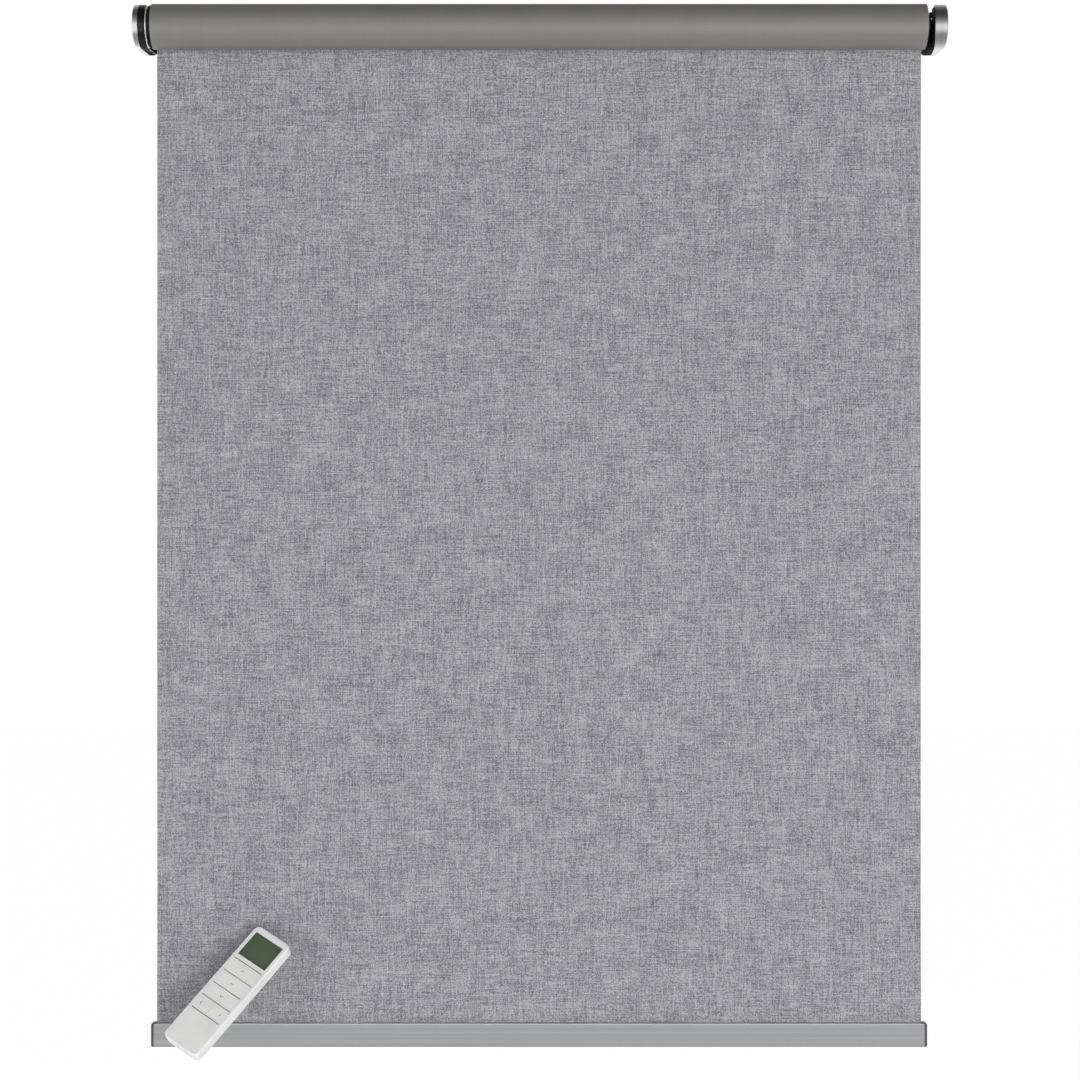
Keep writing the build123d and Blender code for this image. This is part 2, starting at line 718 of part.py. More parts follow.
# Carrier: black block with the pin's seat, a latch over it and a ledge below. Beside the roller
# it is flush with the right cover, and the rest of it runs on under that cover.
latch_low = pin_radius + face_gap
latch_middle = latch_low + latch_height / 2
latch_in = carrier_in + face_gap
with BuildPart() as idler_carrier:
    with BuildSketch(Plane.XY.offset(-nose_radius)):
        add(beside_roller(right_rim - face_gap, cover_slant, carrier_in))
    extrude(amount=2 * nose_radius)
    with BuildSketch(Plane.YZ.offset(carrier_in)):
        add(end_face(0, tail_rear))
    extrude(amount=carrier_thickness, mode=Mode.INTERSECT)
    with BuildSketch(Plane.YZ.offset(carrier_in)):
        add(end_face(cover_fit, tail_rear))
    extrude(amount=carrier_thickness)
    with BuildSketch(axis_plane.offset(carrier_in)):
        with Locations((0, carrier_top + nose_radius / 2)):
            Rectangle(2 * (axis_standoff + nose_radius), nose_radius)
    extrude(amount=carrier_thickness, mode=Mode.SUBTRACT)
    with BuildSketch(axis_plane.offset(carrier_in)):
        with Locations((axis_standoff - panel_rear - ledge_length / 2, -ledge_top - ledge_height / 2)):
            Rectangle(ledge_length, ledge_height)
    extrude(amount=-ledge_proud)
    ledge_face = idler_carrier.faces().sort_by(Axis.X)[0]
    fillet(ledge_face.edges().sort_by(Axis.Y)[0], ledge_proud / 2)
    with BuildSketch(axis_plane.offset(carrier_in)):
        add(pin_slot(running_gap))
    extrude(amount=carrier_thickness, mode=Mode.SUBTRACT)
    with BuildSketch(axis_plane.offset(carrier_in)):
        with Locations((latch_travel / 2, latch_middle)):
            Rectangle(latch_width + latch_travel + 2 * face_gap, latch_height + 2 * slip_gap)
    extrude(amount=latch_thickness + 2 * face_gap, mode=Mode.SUBTRACT)
    with BuildSketch(axis_plane.offset(carrier_out)):
        with Locations(*carrier_screws_at):
            Circle(carrier_screw_radius)
    extrude(amount=plate_thickness - carrier_screw_length, mode=Mode.SUBTRACT)
save(idler_carrier, "idler_carrier")

with BuildPart() as carrier_latch:
    with BuildSketch(axis_plane.offset(latch_in)):
        with Locations((0, latch_middle)):
            Rectangle(latch_width, latch_height)
    extrude(amount=latch_thickness)
    with BuildSketch(axis_plane.offset(latch_in)):
        with Locations((0, latch_low + latch_height - tab_height / 2)):
            Rectangle(tab_width, tab_height)
    extrude(amount=-tab_proud)
    tab_face = carrier_latch.faces().sort_by(Axis.X)[0]
    fillet(tab_face.edges().filter_by(Axis.Z), tab_proud / 3)
save(carrier_latch, "carrier_latch")

with BuildPart() as carrier_screws:
    with BuildSketch(axis_plane.offset(right_plate_out)):
        with Locations(*carrier_screws_at):
            Circle(carrier_screw_head)
    extrude(amount=carrier_screw_head_height)
    tops = carrier_screws.faces().filter_by(Axis.X).sort_by(Axis.X)[-2:]
    chamfer(tops.edges(), carrier_screw_head_height / 3)
    with BuildSketch(axis_plane.offset(right_plate_out + carrier_screw_head_height)):
        with Locations(*carrier_screws_at):
            Rectangle(carrier_screw_recess, 2 * carrier_screw_radius)
            Rectangle(2 * carrier_screw_radius, carrier_screw_recess)
    extrude(amount=-carrier_screw_recess, mode=Mode.SUBTRACT)
    with BuildSketch(axis_plane.offset(right_plate_out)):
        with Locations(*carrier_screws_at):
            Circle(carrier_screw_radius)
    extrude(amount=-carrier_screw_length)
save(carrier_screws, "carrier_screws")

# The sheet hangs from the back of the roll and ends inside the mouth of the hem bar
hem_plane = Plane(origin=(0, sheet_middle, -hem_drop), x_dir=(0, 1, 0), z_dir=(1, 0, 0))
with BuildPart() as fabric_sheet:
    with BuildSketch(Plane.XY):
        with Locations((0, sheet_middle)):
            Rectangle(fabric_width, fabric_thickness)
    extrude(amount=-hem_drop - hem_tuck)
save(fabric_sheet, "fabric_sheet")

# Hem bar: a drawn rail with a mouth for the fabric, a round channel for the spline
# that holds it, and a hollow below for the end caps' spigots
channel_middle = -(hem_tuck + face_gap + spline_radius)
hollow_top = channel_middle - channel_radius - rail_wall
hollow_bottom = rail_wall - rail_height
hollow_middle = (hollow_top + hollow_bottom) / 2
hollow_height = hollow_top - hollow_bottom
hollow_depth = rail_depth - 2 * rail_wall
with BuildPart() as hem_rail:
    with BuildSketch(hem_plane.offset(-rail_length / 2)):
        with Locations((0, -rail_height / 2)):
            RectangleRounded(rail_depth, rail_height, rail_corner)
        with Locations((0, channel_middle)):
            Circle(channel_radius, mode=Mode.SUBTRACT)
        with Locations((0, channel_middle / 2)):
            Rectangle(mouth_width, -channel_middle + 2 * rail_wall, mode=Mode.SUBTRACT)
        with Locations((0, hollow_middle)):
            RectangleRounded(hollow_depth, hollow_height, rail_corner / 2, mode=Mode.SUBTRACT)
    extrude(amount=rail_length)
save(hem_rail, "hem_rail")

with BuildPart() as hem_spline:
    with BuildSketch(hem_plane.offset(-fabric_width / 2)):
        with Locations((0, channel_middle)):
            Circle(spline_radius)
    extrude(amount=fabric_width)
save(hem_spline, "hem_spline")


def end_cap(side):
    """Moulded cap of the hem bar, with a spigot in its hollow and a tab on top beside the fabric."""
    inner = side * rail_length / 2
    with BuildPart() as cap:
        with BuildSketch(hem_plane.offset(inner)):
            with Locations((0, -rail_height / 2)):
                RectangleRounded(rail_depth, rail_height, rail_corner)
        extrude(amount=side * cap_thickness)
        outer = cap.faces().sort_by(Axis.X)[0 if side < 0 else -1]
        fillet(outer.edges(), cap_corner)
        with BuildSketch(hem_plane.offset(inner)):
            with Locations((0, hollow_middle)):
                Rectangle(hollow_depth - rail_corner, hollow_height - 2 * slip_gap)
        extrude(amount=-side * cap_spigot)
        with BuildSketch(hem_plane.offset(inner + side * cap_thickness / 2)):
            with Locations((0, cap_tab_height / 2)):
                Rectangle(cap_tab_depth, cap_tab_height)
        extrude(amount=-side * (cap_thickness / 2 + cap_tab_length))
    return cap


left_end_cap = end_cap(-1)
save(left_end_cap, "left_end_cap")

right_end_cap = end_cap(1)
save(right_end_cap, "right_end_cap")

# Hand remote. Its plane lies at mid thickness: local X across it, local Y towards the window.
lean, yaw, roll = (math.radians(angle) for angle in (remote_lean, remote_yaw, remote_roll))
facing = Vector(math.sin(yaw) * math.cos(lean), -math.cos(yaw) * math.cos(lean), math.sin(lean))
level = Vector(math.cos(yaw), math.sin(yaw), 0)
rise = facing.cross(level)
across = level * math.cos(roll) - rise * math.sin(roll)
along = level * math.sin(roll) + rise * math.cos(roll)


def half_extent(unit):
    """Half the remote's reach along one axis, from that axis's share of its three directions."""
    shares = (across.dot(unit), along.dot(unit), facing.dot(unit))
    spans = (remote_width, remote_length, remote_thickness)
    return sum(abs(share) * span for share, span in zip(shares, spans)) / 2


rail_front = sheet_middle - rail_depth / 2
remote_middle = Vector(
    remote_inset - roll_face,
    rail_front - face_gap - half_extent(Vector(0, 1, 0)),
    remote_rise - hem_drop - rail_height + half_extent(Vector(0, 0, 1)),
)
remote_plane = Plane(origin=remote_middle, x_dir=across, z_dir=facing)
face_level = remote_thickness / 2
ceiling = face_level - remote_face
floor_level = remote_wall - face_level
window_middle = remote_length / 2 - window_margin - window_length / 2
keys_top = window_middle - window_length / 2 - key_margin
keys_middle = keys_top - key_rows * key_pitch / 2
keys_span = key_rows * key_pitch + key_groove
key_length = key_pitch - key_groove
circuit_top = circuit_level + circuit_thickness
key_bottom = circuit_top + keypad_thickness + key_travel + slip_gap


def remote_outline(inset):
    """The remote's outline, drawn in by inset."""
    with BuildSketch(Plane.XY) as face:
        width = remote_width - 2 * inset
        RectangleRounded(width, remote_length - 2 * inset, remote_corner - inset)
    return face.sketch


with BuildPart() as remote_front_shell:
    with BuildSketch(remote_plane.offset(parting_gap / 2)):
        add(remote_outline(0))
    extrude(amount=face_level - parting_gap / 2)
    front_face = remote_front_shell.faces().sort_by(Axis(remote_middle, facing))[-1]
    fillet(front_face.edges(), remote_edge)
    with BuildSketch(remote_plane.offset(parting_gap / 2)):
        add(remote_outline(remote_wall))
    extrude(amount=ceiling - parting_gap / 2, mode=Mode.SUBTRACT)
    with BuildSketch(remote_plane):
        with Locations((0, window_middle)):
            RectangleRounded(window_width, window_length, window_corner)
        with Locations((0, keys_middle)):
            RectangleRounded(key_width + 2 * slip_gap, keys_span, key_corner)
    extrude(amount=face_level, mode=Mode.SUBTRACT)
save(remote_front_shell, "remote_front_shell")

with BuildPart() as remote_back_shell:
    with BuildSketch(remote_plane.offset(-parting_gap / 2)):
        add(remote_outline(0))
    extrude(amount=parting_gap / 2 - face_level)
    back_face = remote_back_shell.faces().sort_by(Axis(remote_middle, facing))[0]
    fillet(back_face.edges(), remote_edge)
    with BuildSketch(remote_plane.offset(-parting_gap / 2)):
        add(remote_outline(remote_wall))
    extrude(amount=parting_gap / 2 + floor_level, mode=Mode.SUBTRACT)
    with BuildSketch(remote_plane.offset(-face_level)):
        with Locations((0, (door_length - remote_length) / 2)):
            Rectangle(door_width + 2 * slip_gap, door_length + 2 * slip_gap)
    extrude(amount=remote_wall, mode=Mode.SUBTRACT)
save(remote_back_shell, "remote_back_shell")

with BuildPart() as remote_battery_door:
    with BuildSketch(remote_plane.offset(-face_level)):
        with Locations((0, (door_length - remote_length) / 2)):
            Rectangle(door_width, door_length)
    extrude(amount=door_thickness)
    end_edge = remote_battery_door.edges().filter_by(Axis(remote_middle, across)).group_by(Axis.Z)[0]
    fillet(end_edge, door_thickness / 2)
save(remote_battery_door, "remote_battery_door")

with BuildPart() as remote_lens:
    with BuildSketch(remote_plane.offset(ceiling - lens_thickness)):
        with Locations((0, window_middle)):
            Rectangle(window_width + 2 * lens_lap, window_length + 2 * lens_lap)
    extrude(amount=lens_thickness)
save(remote_lens, "remote_lens")

display_top = ceiling - lens_thickness - slip_gap
with BuildPart() as remote_display:
    with BuildSketch(remote_plane.offset(display_top - display_thickness)):
        with Locations((0, window_middle)):
            Rectangle(window_width + lens_lap, window_length + lens_lap)
    extrude(amount=display_thickness)
save(remote_display, "remote_display")

with BuildPart() as remote_circuit:
    with BuildSketch(remote_plane.offset(circuit_level)):
        Rectangle(remote_width - 2 * remote_wall - 2 * slip_gap, circuit_length)
    extrude(amount=circuit_thickness)
save(remote_circuit, "remote_circuit")

with BuildPart() as remote_keypad:
    with BuildSketch(remote_plane.offset(circuit_top)):
        with Locations((0, keys_middle)):
            Rectangle(key_width - 2 * keypad_margin, keys_span - 2 * keypad_margin)
    extrude(amount=keypad_thickness)
save(remote_keypad, "remote_keypad")

coin_middle = door_length / 2 - remote_length / 2 + remote_wall
coin_top = floor_level + slip_gap + coin_thickness
with BuildPart() as remote_coin_cell:
    with BuildSketch(remote_plane.offset(floor_level + slip_gap)):
        with Locations((0, coin_middle)):
            Circle(coin_radius)
    extrude(amount=coin_thickness)
save(remote_coin_cell, "remote_coin_cell")

with BuildPart() as remote_contact:
    with BuildSketch(remote_plane.offset(coin_top)):
        with Locations((0, coin_middle)):
            Rectangle(contact_width, coin_radius)
    extrude(amount=contact_thickness)
save(remote_contact, "remote_contact")


def remote_key(middle_x, row, width):
    """One flush key, in its row below the window."""
    middle_y = keys_top - (row + 0.5) * key_pitch
    with BuildPart() as key:
        with BuildSketch(remote_plane.offset(key_bottom)):
            with Locations((middle_x, middle_y)):
                RectangleRounded(width, key_length, key_corner)
        extrude(amount=face_level - key_bottom)
    return key


half_key = (key_width - key_divider) / 2
half_shift = (half_key + key_divider) / 2
remote_keys = {
    "key_up": (0, 0, key_width),
    "key_stop": (0, 1, key_width),
    "key_down": (0, 2, key_width),
    "key_left": (-half_shift, 3, half_key),
    "key_right": (half_shift, 3, half_key),
}
for key_name, (middle_x, row, width) in remote_keys.items():
    save(remote_key(middle_x, row, width), key_name)
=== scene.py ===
"""Dresses a battery roller blind and its hand remote, and lights them in a plain studio.

Lengths are in metres, in the blind's own frame: X runs along the roller to the right, Y from the
room to the wall, Z up. What the frame holds is read from it, so the pieces follow its sizes.
"""

import json
import logging
import math
from dataclasses import dataclass, replace
from enum import Enum
from functools import cached_property
from typing import Any, Callable, Mapping, Sequence, Union

import bpy
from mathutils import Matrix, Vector
from mathutils import noise as field_noise


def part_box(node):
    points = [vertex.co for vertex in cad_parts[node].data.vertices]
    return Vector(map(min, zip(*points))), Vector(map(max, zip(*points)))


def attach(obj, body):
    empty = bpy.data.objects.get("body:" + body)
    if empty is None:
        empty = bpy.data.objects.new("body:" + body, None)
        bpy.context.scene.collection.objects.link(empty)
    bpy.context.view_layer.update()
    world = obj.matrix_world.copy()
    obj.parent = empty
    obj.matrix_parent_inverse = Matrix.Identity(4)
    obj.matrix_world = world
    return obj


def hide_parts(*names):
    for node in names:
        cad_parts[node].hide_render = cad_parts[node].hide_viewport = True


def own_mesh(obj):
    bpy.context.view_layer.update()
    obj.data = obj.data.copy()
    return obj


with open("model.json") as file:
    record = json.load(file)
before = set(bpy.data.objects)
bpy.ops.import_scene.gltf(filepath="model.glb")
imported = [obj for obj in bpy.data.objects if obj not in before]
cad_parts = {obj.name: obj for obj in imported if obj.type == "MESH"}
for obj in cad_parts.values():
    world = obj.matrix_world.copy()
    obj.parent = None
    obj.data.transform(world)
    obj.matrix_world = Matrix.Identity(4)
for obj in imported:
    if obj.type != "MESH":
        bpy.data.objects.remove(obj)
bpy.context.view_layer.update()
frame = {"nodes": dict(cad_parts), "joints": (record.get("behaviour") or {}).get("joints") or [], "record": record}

log = logging.getLogger("roller_blind")

MM = 0.001
SMOOTH_ANGLE = math.radians(32)

Colour = tuple[float, float, float, float]
Place = tuple[float, float, float]
Pairs = Sequence[tuple[float, float]]
Number = Union["Socket", float]
Value = Union["Socket", float, Sequence[float]]


def seen(*levels: float) -> Colour:
    """Turns a colour as it shows on a screen into the linear colour of a surface.

    Args:
        levels: Red, green and blue, from 0 to 255, on the curve that screens use.

    Returns:
        The linear colour, with an alpha of 1.
    """
    shares = [level / 255 for level in levels]
    red, green, blue = (s / 12.92 if s <= 0.04045 else ((s + 0.055) / 1.055) ** 2.4 for s in shares)
    return red, green, blue, 1.0


def grey(level: float) -> Colour:
    """A linear grey, from 0 to 1."""
    return level, level, level, 1.0


def shade(colour: Colour, factor: float) -> Colour:
    """A colour made lighter or darker by a factor."""
    red, green, blue, alpha = colour
    return red * factor, green * factor, blue * factor, alpha


def ease(value: float) -> float:
    """Smooth step from 0 to 1 as value goes from 0 to 1."""
    held = min(max(value, 0.0), 1.0)
    return held * held * (3 - 2 * held)


WHITE = grey(1.0)
DUST = seen(170, 167, 160)
TIN = seen(200, 196, 180)
# Pale metal of worn edges, also painted on edges and tops as a highlight
BARE_METAL_AND_HIGHLIGHT = seen(244, 244, 245)
FABRIC_LIGHT = seen(193, 192, 197)
FABRIC_MIDDLE = seen(159, 158, 163)
FABRIC_DARK = seen(113, 112, 118)
COATING_GREY = seen(122, 120, 116)


def operator(operation: str, swapped: bool = False) -> Callable[..., "Socket"]:
    """Makes an operator or another method of Socket.

    Args:
        operation: The Math node's operation.
        swapped: Whether the other value comes first, as in 1 - mask.

    Returns:
        The method.
    """

    def apply(socket: "Socket", *others: Number) -> "Socket":
        """Adds the node and gives its result."""
        values = (*others, socket) if swapped else (socket, *others)
        return socket.graph.math(operation, *values)

    return apply


@dataclass(frozen=True)
class Socket:
    """Output of a shader node. Python's operators on it add Math nodes."""

    graph: "ShaderGraph"
    source: bpy.types.NodeSocket

    __add__ = __radd__ = operator("ADD")
    __sub__ = operator("SUBTRACT")
    __rsub__ = operator("SUBTRACT", swapped=True)
    __mul__ = __rmul__ = operator("MULTIPLY")
    __truediv__ = operator("DIVIDE")
    __rtruediv__ = operator("DIVIDE", swapped=True)
    __pow__ = operator("POWER")
    __rpow__ = operator("POWER", swapped=True)
    __gt__ = operator("GREATER_THAN")
    __lt__ = operator("LESS_THAN")
    __abs__ = operator("ABSOLUTE")
    floor = operator("FLOOR")
    fract = operator("FRACT")
    sine = operator("SINE")
    at_least = operator("MAXIMUM")
    at_most = operator("MINIMUM")

    def over(self, low: float, high: float) -> "Socket":
        """Smooth step.

        Args:
            low: Value at which it is 0.
            high: Value at which it is 1.

        Returns:
            A mask that eases from 0 to 1.
        """
        settings = {"interpolation_type": "SMOOTHSTEP"}
        return self.graph.node("ShaderNodeMapRange", settings, {0: self, 1: low, 2: high, 3: 0.0, 4: 1.0})


class ShaderGraph:
    """Node tree of a material or of the world."""

    def __init__(self, tree: bpy.types.NodeTree) -> None:
        """Empties the tree.

        Args:
            tree: The tree to fill.
        """
        tree.nodes.clear()
        self.tree = tree

    def node(
        self,
        kind: str,
        settings: Mapping[str, Any] | None = None,
        inputs: Mapping[int | str, Value] | None = None,
        output: int | str = 0,
    ) -> Socket:
        """Adds a node.

        Args:
            kind: The node's type.
            settings: Its properties.
            inputs: Numbers, colours or links of its sockets, by name or by place.
            output: The output to return, by name or by place.

        Returns:
            That output.
        """
        made = self.tree.nodes.new(kind)
        for name, setting in (settings or {}).items():
            setattr(made, name, setting)
        for name, value in (inputs or {}).items():
            if isinstance(value, Socket):
                self.tree.links.new(value.source, made.inputs[name])
            else:
                made.inputs[name].default_value = value
        return Socket(self, made.outputs[output])

    def outputs(self, first: Socket, *names: int | str) -> list[Socket]:
        """A node's first output as it was returned, then others of the same node."""
        return [first, *(Socket(self, first.source.node.outputs[name]) for name in names)]

    def math(self, operation: str, *values: Number) -> Socket:
        """Adds a Math node.

        Args:
            operation: The node's operation.
            values: Its operands, in order.

        Returns:
            The node's result.
        """
        return self.node("ShaderNodeMath", {"operation": operation}, dict(enumerate(values)))

    def vector_math(self, operation: str, inputs: Mapping[int | str, Value], output: int = 0) -> Socket:
        """Adds a Vector Math node.

        Args:
            operation: The node's operation.
            inputs: Its operands, by name or by place.
            output: 0 for a vector, 1 for a number.

        Returns:
            The node's result.
        """
        return self.node("ShaderNodeVectorMath", {"operation": operation}, inputs, output)

    @cached_property
    def place(self) -> Socket:
        """Place on the piece, in metres, which stays with the piece as it moves."""
        return self.node("ShaderNodeTexCoord", output="Object")

    def normal(self) -> Socket:
        """The way that the surface faces, in the piece's own directions."""
        return self.node("ShaderNodeTexCoord", output="Normal")

    def parts(self, vector: Socket) -> list[Socket]:
        """X, Y and Z of a vector."""
        return self.outputs(self.node("ShaderNodeSeparateXYZ", inputs={0: vector}), 1, 2)

    def vector(self, x: Number, y: Number, z: Number) -> Socket:
        """A vector from three values."""
        return self.node("ShaderNodeCombineXYZ", inputs={0: x, 1: y, 2: z})

    def reach(self, origin: Sequence[float], direction: Sequence[float]) -> Socket:
        """How far the place on the piece lies from an origin along a direction.

        Args:
            origin: Where the distance is 0.
            direction: Unit vector.

        Returns:
            The distance.
        """
        arm = self.vector_math("SUBTRACT", {0: self.place, 1: origin})
        return self.vector_math("DOT_PRODUCT", {0: arm, 1: direction}, 1)

    def noise(
        self,
        scale: float | Place = 1.0,
        detail: float = 2.0,
        roughness: float = 0.5,
        vector: Socket | None = None,
    ) -> Socket:
        """Soft noise from 0 to 1, with a mean of a half.

        Args:
            scale: Features to the unit of length, as one number or one for each axis.
            detail: Octaves.
            roughness: Share of each finer octave.
            vector: Where it is read, if it isn't the place on the piece.

        Returns:
            The noise.
        """
        vector = vector or self.place
        if isinstance(scale, tuple):
            vector, scale = self.vector_math("MULTIPLY", {0: vector, 1: scale}), 1.0
        inputs = {"Vector": vector, "Scale": scale, "Detail": detail, "Roughness": roughness}
        return self.node("ShaderNodeTexNoise", inputs=inputs)

    def cells(self, scale: float) -> Socket:
        """Distance to the middle of the nearest of many scattered cells."""
        return self.node("ShaderNodeTexVoronoi", inputs={"Vector": self.place, "Scale": scale})

    def blend(self, factor: Number, first: Value, second: Value) -> Socket:
        """Mixes two colours.

        Args:
            factor: Share of the second.
            first: Colour at a factor of 0.
            second: Colour at a factor of 1.

        Returns:
            The mixed colour.
        """
        return self.node("ShaderNodeMix", {"data_type": "RGBA"}, {0: factor, 6: first, 7: second}, 2)

    def ramp(self, value: Socket, stops: Sequence[tuple[float, Colour]]) -> Socket:
        """Looks a colour up.

        Args:
            value: Where to look, from 0 to 1.
            stops: Place and colour of each stop, in order.

        Returns:
            The colour.
        """
        made = self.node("ShaderNodeValToRGB", inputs={0: value})
        elements = made.source.node.color_ramp.elements
        while len(elements) < len(stops):
            elements.new(1.0)
        for element, (place, colour) in zip(elements, stops):
            element.position = place
            element.color = colour
        return made

    def bump(self, height: Socket, depth: float, strength: float, normal: Socket | None = None) -> Socket:
        """Turns heights into a normal.

        Args:
            height: Height, where 1 is full depth.
            depth: Full depth, in metres.
            strength: Share of the effect.
            normal: Normal that it starts from, if it isn't the mesh's own.

        Returns:
            The normal.
        """
        inputs: dict[int | str, Value] = {"Height": height, "Distance": depth, "Strength": strength}
        if normal is not None:
            inputs["Normal"] = normal
        return self.node("ShaderNodeBump", inputs=inputs)

    def soft_edges(self, radius: float) -> Socket:
        """Normal of the mesh with its sharp edges rounded."""
        return self.node("ShaderNodeBevel", {"samples": 4}, {"Radius": radius})

    def ridges(self, radius: float) -> Socket:
        """1 on sharp edges of the mesh and 0 away from them, by how far rounding turns the normal."""
        flat = self.node("ShaderNodeNewGeometry", output="Normal")
        likeness = self.vector_math("DOT_PRODUCT", {0: self.soft_edges(radius), 1: flat}, 1)
        return likeness.over(0.995, 0.85)

    def shows_white(self) -> Socket:
        """1 for rays that should see a plain white background: the camera's, gloss and glass."""
        first = self.node("ShaderNodeLightPath", output="Is Camera Ray")
        camera, gloss, glass = self.outputs(first, "Is Glossy Ray", "Is Transmission Ray")
        return (camera + gloss + glass).at_most(1.0)

    def principled(self, **inputs: Value) -> Socket:
        """Adds the standard surface.

        Args:
            inputs: Its sockets, with _ for a space in their names.

        Returns:
            The surface.
        """
        named = {name.replace("_", " "): value for name, value in inputs.items()}
        return self.node("ShaderNodeBsdfPrincipled", inputs=named)

    def close(self, surface: Socket, kind: str = "ShaderNodeOutputMaterial") -> None:
        """Adds the tree's output and links a surface to it.

        Args:
            surface: The surface, or the world's light.
            kind: The output node's type.
        """
        made = self.tree.nodes.new(kind)
        self.tree.links.new(surface.source, made.inputs[0])


@dataclass(frozen=True)
class Finish:
    """A surface that pieces are dressed in."""

    label: str

    def material(self) -> bpy.types.Material:
        """The finish as a material, made the first time it is asked for."""
        known = bpy.data.materials.get(self.label)
        if known is not None:
            return known
        made = bpy.data.materials.new(self.label)
        made.use_nodes = True
        graph = ShaderGraph(made.node_tree)
        graph.close(self.surface(graph))
        return made

    def surface(self, graph: ShaderGraph) -> Socket:
        """Builds the finish.

        Args:
            graph: Where its nodes go.

        Returns:
            The surface.
        """
        raise NotImplementedError


@dataclass(frozen=True)
class Weave(Finish):
    """Room side of the sheet: plain weave of slubbed yarns in several greys."""

    dark: Colour
    middle: Colour
    light: Colour
    pitch: float = 0.84 * MM
    slub: float = 13 * MM
    sway: float = 0.9
    thread: float = 950.0
    thread_down: float = 34.0
    thread_across: float = 30.0
    yarn_share: float = 0.34
    down_share: float = 0.42
    across_share: float = 0.5
    patch_share: float = 0.24
    stitch_share: float = 0.34
    fibre_share: float = 0.14
    contrast: float = 1.9
    accents: float = 0.24

    def surface(self, graph: ShaderGraph) -> Socket:
        """Warp and weft yarns, each with its own grey that drifts along its length, with painted shade in the gaps
        between them.
        """
        x, _, z = graph.parts(graph.place)
        sway = graph.noise((60, 60, 60), 1.0) - 0.5
        across = x / self.pitch + sway * self.sway
        down = z / self.pitch + sway * self.sway
        warp = across.floor()
        weft = down.floor()
        # The half sum of two yarn numbers ends in .5 at every other crossing
        weft_on_top = ((warp + weft) * 0.5).fract() > 0.25

        warp_tone = graph.noise(1.0, 3.0, 0.55, graph.vector(warp * 0.731, z / self.slub, 0.0))
        weft_tone = graph.noise(1.0, 3.0, 0.55, graph.vector(x / self.slub, weft * 0.677, 7.3))
        slub_down = graph.noise(vector=graph.vector(x * self.thread, z * self.thread_down, 1.7))
        slub_across = graph.noise(vector=graph.vector(x * self.thread_across, z * self.thread, 4.1))
        patches = graph.noise(34.0, 3.0, 0.6)
        fibres = graph.noise(5200.0, 2.0, 0.6)
        crossing = {0: graph.vector(warp, weft, 0.0)}
        stitch = graph.node("ShaderNodeTexWhiteNoise", {"noise_dimensions": "2D"}, crossing, "Value")

        yarn = warp_tone * (1 - weft_on_top) + weft_tone * weft_on_top
        threads = slub_down * self.down_share + slub_across * self.across_share
        warp_accents = self.accent(graph, warp, z, 3.9) * (1 - weft_on_top)
        accents = warp_accents + self.accent(graph, weft, x, 8.2) * weft_on_top
        tone = yarn * self.yarn_share + threads + patches * self.patch_share
        tone = tone + stitch * self.stitch_share + fibres * self.fibre_share + accents
        tone = (tone - 1.0) * self.contrast + 0.5

        warp_side = across.fract()
        weft_side = down.fract()
        warp_round = warp_side * (1 - warp_side) * 4
        weft_round = weft_side * (1 - weft_side) * 4
        warp_height = warp_round ** 0.5 * (weft_round * 0.4 + 0.6) * (1 - weft_on_top)
        weft_height = weft_round ** 0.5 * (warp_round * 0.4 + 0.6) * weft_on_top
        height = warp_height + weft_height

        dyed = graph.ramp(tone, [(0.12, self.dark), (0.5, self.middle), (0.88, self.light)])
        # Painted shade: the low gaps between yarns take a deeper copy of the dark grey
        crevice_shaded = graph.blend(height.over(0.05, 0.55), shade(self.dark, 0.62), dyed)
        return graph.principled(
            Base_Color=crevice_shaded,
            Roughness=0.86 - height * 0.1,
            Normal=graph.bump(height + fibres * 0.25, 0.16 * MM, 0.55),
            Specular_IOR_Level=0.25,
            Sheen_Weight=0.12,
            Sheen_Roughness=0.45,
        )

    def accent(self, graph: ShaderGraph, yarn: Socket, along: Socket, seed: float) -> Socket:
        """Thick and thin places of single yarns, which show as short light and dark lines.

        Args:
            graph: Where its nodes go.
            yarn: The yarn's number.
            along: Place along it.
            seed: Sets one system of yarns apart from the other.

        Returns:
            What they add to the tone.
        """
        drift = graph.noise(1.0, 1.0, vector=graph.vector(yarn * 3.77, along / (self.slub * 1.6), seed))
        return (drift.over(0.62, 0.72) - drift.over(0.38, 0.28)) * self.accents


@dataclass(frozen=True)
class Coating(Finish):
    """Wall side of the sheet, and so the outside of the roll: foam coating over the weave."""

    colour: Colour
    pitch: float = 0.84 * MM

    def surface(self, graph: ShaderGraph) -> Socket:
        """Even coat with cloudy mottling, a ghost of the weave and a few rub lines."""
        x, y, z = graph.parts(graph.place)
        clouds = graph.noise(22.0, 4.0, 0.55)
        pores = graph.noise(2600.0, 2.0, 0.6)
        bands = graph.noise((3, 240, 240))
        rubs = graph.noise((900, 9, 9))
        threads = (x * (math.tau / self.pitch)).sine() * ((y + z) * (math.tau / self.pitch)).sine()
        tone = clouds * 0.45 + bands * 0.3 + rubs * 0.25
        dyed = graph.blend(tone.over(0.3, 0.7), shade(self.colour, 0.93), shade(self.colour, 1.06))
        return graph.principled(
            Base_Color=dyed,
            Roughness=0.38 + clouds * 0.12 + rubs * 0.06,
            Normal=graph.bump(threads * 0.25 + pores * 0.5 + bands * 0.6, 0.05 * MM, 0.35),
            Specular_IOR_Level=0.95,
        )


